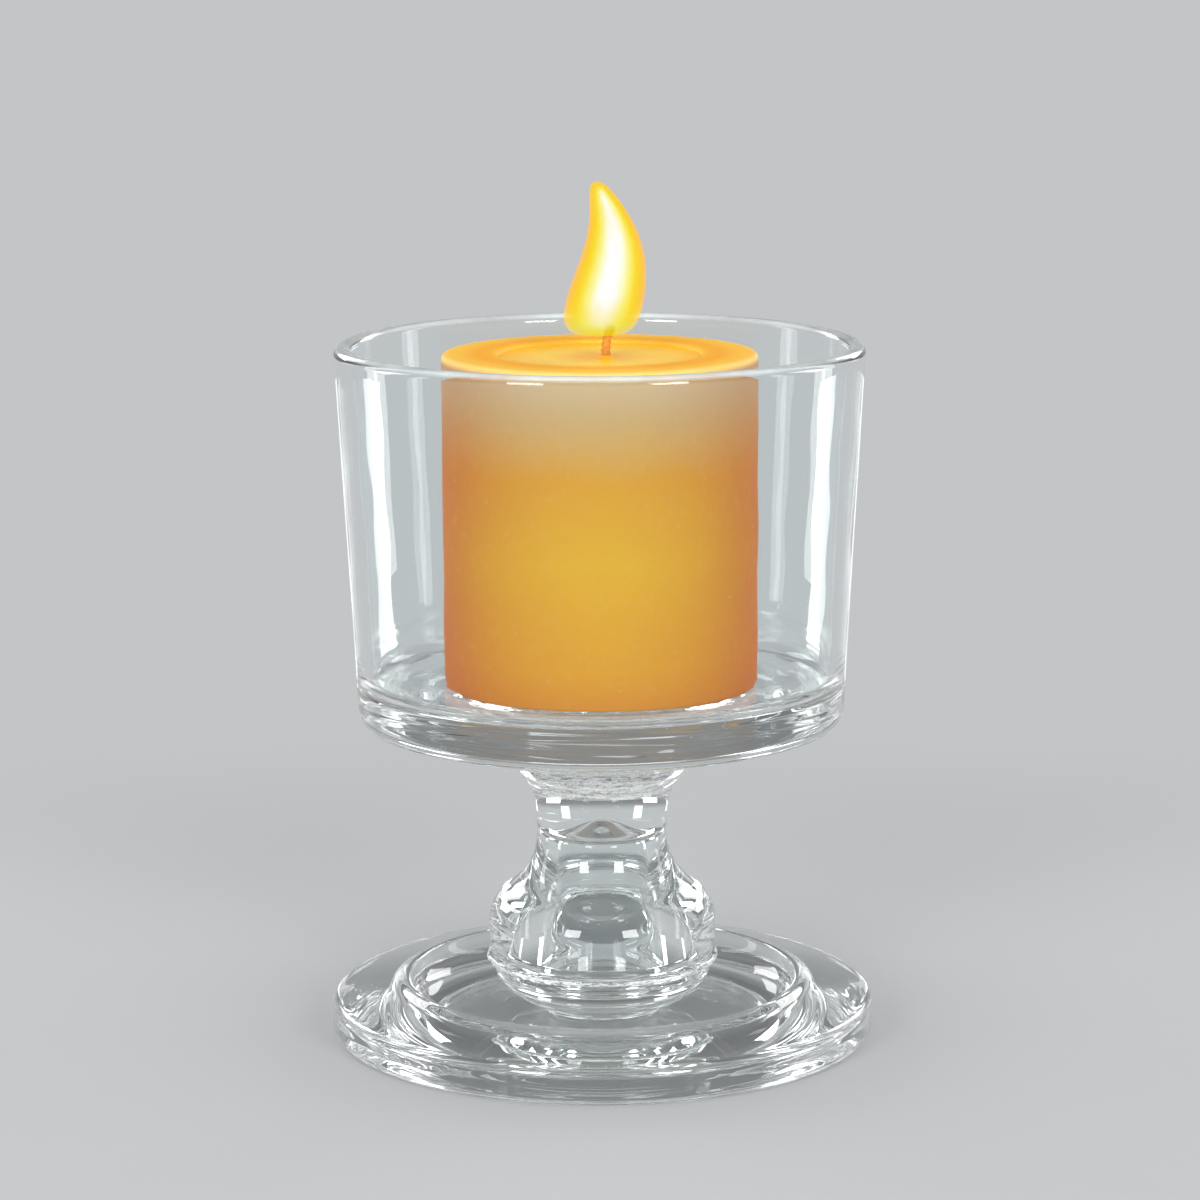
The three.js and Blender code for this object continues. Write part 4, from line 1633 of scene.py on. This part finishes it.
@dataclass
class Studio:
    """Pale floor, soft light and the camera. Lengths are metres and angles degrees."""

    floor_radius: float = 2.6
    floor_drop: float = 0.00015
    camera_back: float = 0.9288
    camera_height: float = 0.2848
    camera_side: float = -0.00018
    pitch: float = 10.867
    roll: float = -0.28
    lens: float = 116.97
    boxes: tuple[SoftBox, ...] = (
        SoftBox("softbox_front_left", -31.0, 1.0, 0.42, 0.28, 0.34, 0.42),
        SoftBox("softbox_front_right", 29.0, 1.0, 0.42, 0.28, 0.34, 0.42),
        SoftBox("softbox_side_left", -108.0, 0.40, 0.20, 0.06, 0.38, 0.12),
        SoftBox("softbox_side_right", 108.0, 0.40, 0.20, 0.06, 0.38, 0.12),
        SoftBox("softbox_rim_left", -146.0, 0.90, 0.42, 0.26, 0.34, 0.16),
        SoftBox("softbox_rim_right", 146.0, 0.90, 0.42, 0.26, 0.34, 0.16),
        SoftBox("softbox_edge_left", -158.0, 0.40, 0.054, 0.045, 0.104, 0.008),
        SoftBox("softbox_edge_right", 158.0, 0.40, 0.054, 0.045, 0.104, 0.008),
        SoftBox("softbox_overhead", 0.0, 0.10, 1.25, 0.80, 0.80, 0.30),
    )
    aim_height: float = 0.1
    glass_bounces: int = 64
    glossy_bounces: int = 24
    joint_bounces: int = 40

    def floor(self) -> bpy.types.Object:
        """A flat disc just under the object: radius grows with the square of the ring's share."""
        rings, around = 24, 96
        radius = self.floor_radius * (np.arange(1, rings + 1) / rings) ** 2
        angle = np.linspace(0.0, TURN, around, endpoint=False)
        flat = np.stack([np.outer(radius, np.cos(angle)), np.outer(radius, np.sin(angle)),
                         np.full((rings, around), -self.floor_drop)], 2).reshape(-1, 3)
        vertices = np.concatenate([flat, [[0.0, 0.0, -self.floor_drop]]])
        column = np.arange(around)
        after = np.roll(column, -1)
        row = np.arange(rings - 1)[:, None] * around
        quads = np.stack([row + column, row + around + column, row + around + after, row + after], 2)
        middle = np.stack([np.full(around, len(vertices) - 1), column, after], 1).tolist()
        piece = mesh_object("studio_floor", vertices, quads.reshape(-1, 4).tolist() + middle, None,
                            [StudioPaper("studio_paper").make()])
        return piece

    def world(self) -> None:
        """Surroundings that follow the height alone: the backdrop's tone below the horizon, dim above."""
        world = bpy.data.worlds.new("studio_world")
        bpy.context.scene.world = world
        world.use_nodes = True
        recipe = Recipe(world.node_tree)
        direction = recipe.node("ShaderNodeTexCoord").outputs["Generated"]
        _, _, up = recipe.axes(direction)
        colour = recipe.ramp(up * 0.5 + 0.5, [
            (0.00, BACKDROP),
            (0.52, BACKDROP),
            (0.60, scaled(BACKDROP, 0.45)),
            (0.72, scaled(BACKDROP, 0.30)),
            (1.00, scaled(BACKDROP, 0.50)),
        ])
        light = recipe.node("ShaderNodeBackground", None, {"Color": colour, "Strength": 1.0})
        recipe.node("ShaderNodeOutputWorld", None, {"Surface": light.outputs[0]})

    def camera(self) -> None:
        """Camera at the photograph's angle: pitched down, with a slight roll."""
        lens = bpy.data.cameras.new("photo_camera")
        lens.sensor_fit = "HORIZONTAL"
        lens.sensor_width = 36.0
        lens.lens = self.lens
        lens.clip_start = 0.02
        camera = bpy.data.objects.new("photo_camera", lens)
        tilt = Matrix.Rotation(math.radians(90.0 - self.pitch), 4, "X")
        lean = Matrix.Rotation(math.radians(self.roll), 4, "Z")
        spot = Matrix.Translation((self.camera_side, -self.camera_back, self.camera_height))
        camera.matrix_world = spot @ tilt @ lean
        bpy.context.scene.collection.objects.link(camera)
        bpy.context.scene.camera = camera

    def light_paths(self) -> None:
        """Lets rays cross as many glass faces as this holder has in a line."""
        cycles = bpy.context.scene.cycles
        cycles.max_bounces = self.glass_bounces
        cycles.transmission_bounces = self.glass_bounces
        cycles.glossy_bounces = self.glossy_bounces
        cycles.transparent_max_bounces = self.joint_bounces
        cycles.caustics_reflective = False
        cycles.caustics_refractive = False

    def build(self) -> None:
        """Sets up the whole studio."""
        self.camera()
        self.floor()
        self.world()
        self.light_paths()
        for box in self.boxes:
            box.hang(Vector((0.0, 0.0, self.aim_height)))
        bpy.context.scene.view_settings.view_transform = "Standard"


def main() -> None:
    """Builds the pieces in order."""
    logging.basicConfig(level=logging.INFO, format="%(message)s")
    clear = ClearGlass("clear_glass_look").make()
    fused = FusedGlass("fused_glass_look").make()
    joint = UnseenJoint("unseen_joint").make()
    lip = LipGlass("lip_glass_look", crest=level_of("hurricane_cup")[1]).make()
    neck_seam = SeamFlecks("neck_seam_flecks").make()
    foot_seam = SeamFlecks("foot_seam_flecks", size=0.7, amount=0.7, rim=BOSS_RADIUS, inner=0.93).make()
    BaseDish().build(clear, fused, joint)
    FootWeld().build(clear, fused, foot_seam)
    BellStem().build(clear, fused, joint)
    NeckWeld().build(clear, fused, neck_seam)
    HurricaneCup().build(clear, fused, joint, lip)
    PillarCandle().build()
    Studio().build()


if __name__ == "__main__":
    main()
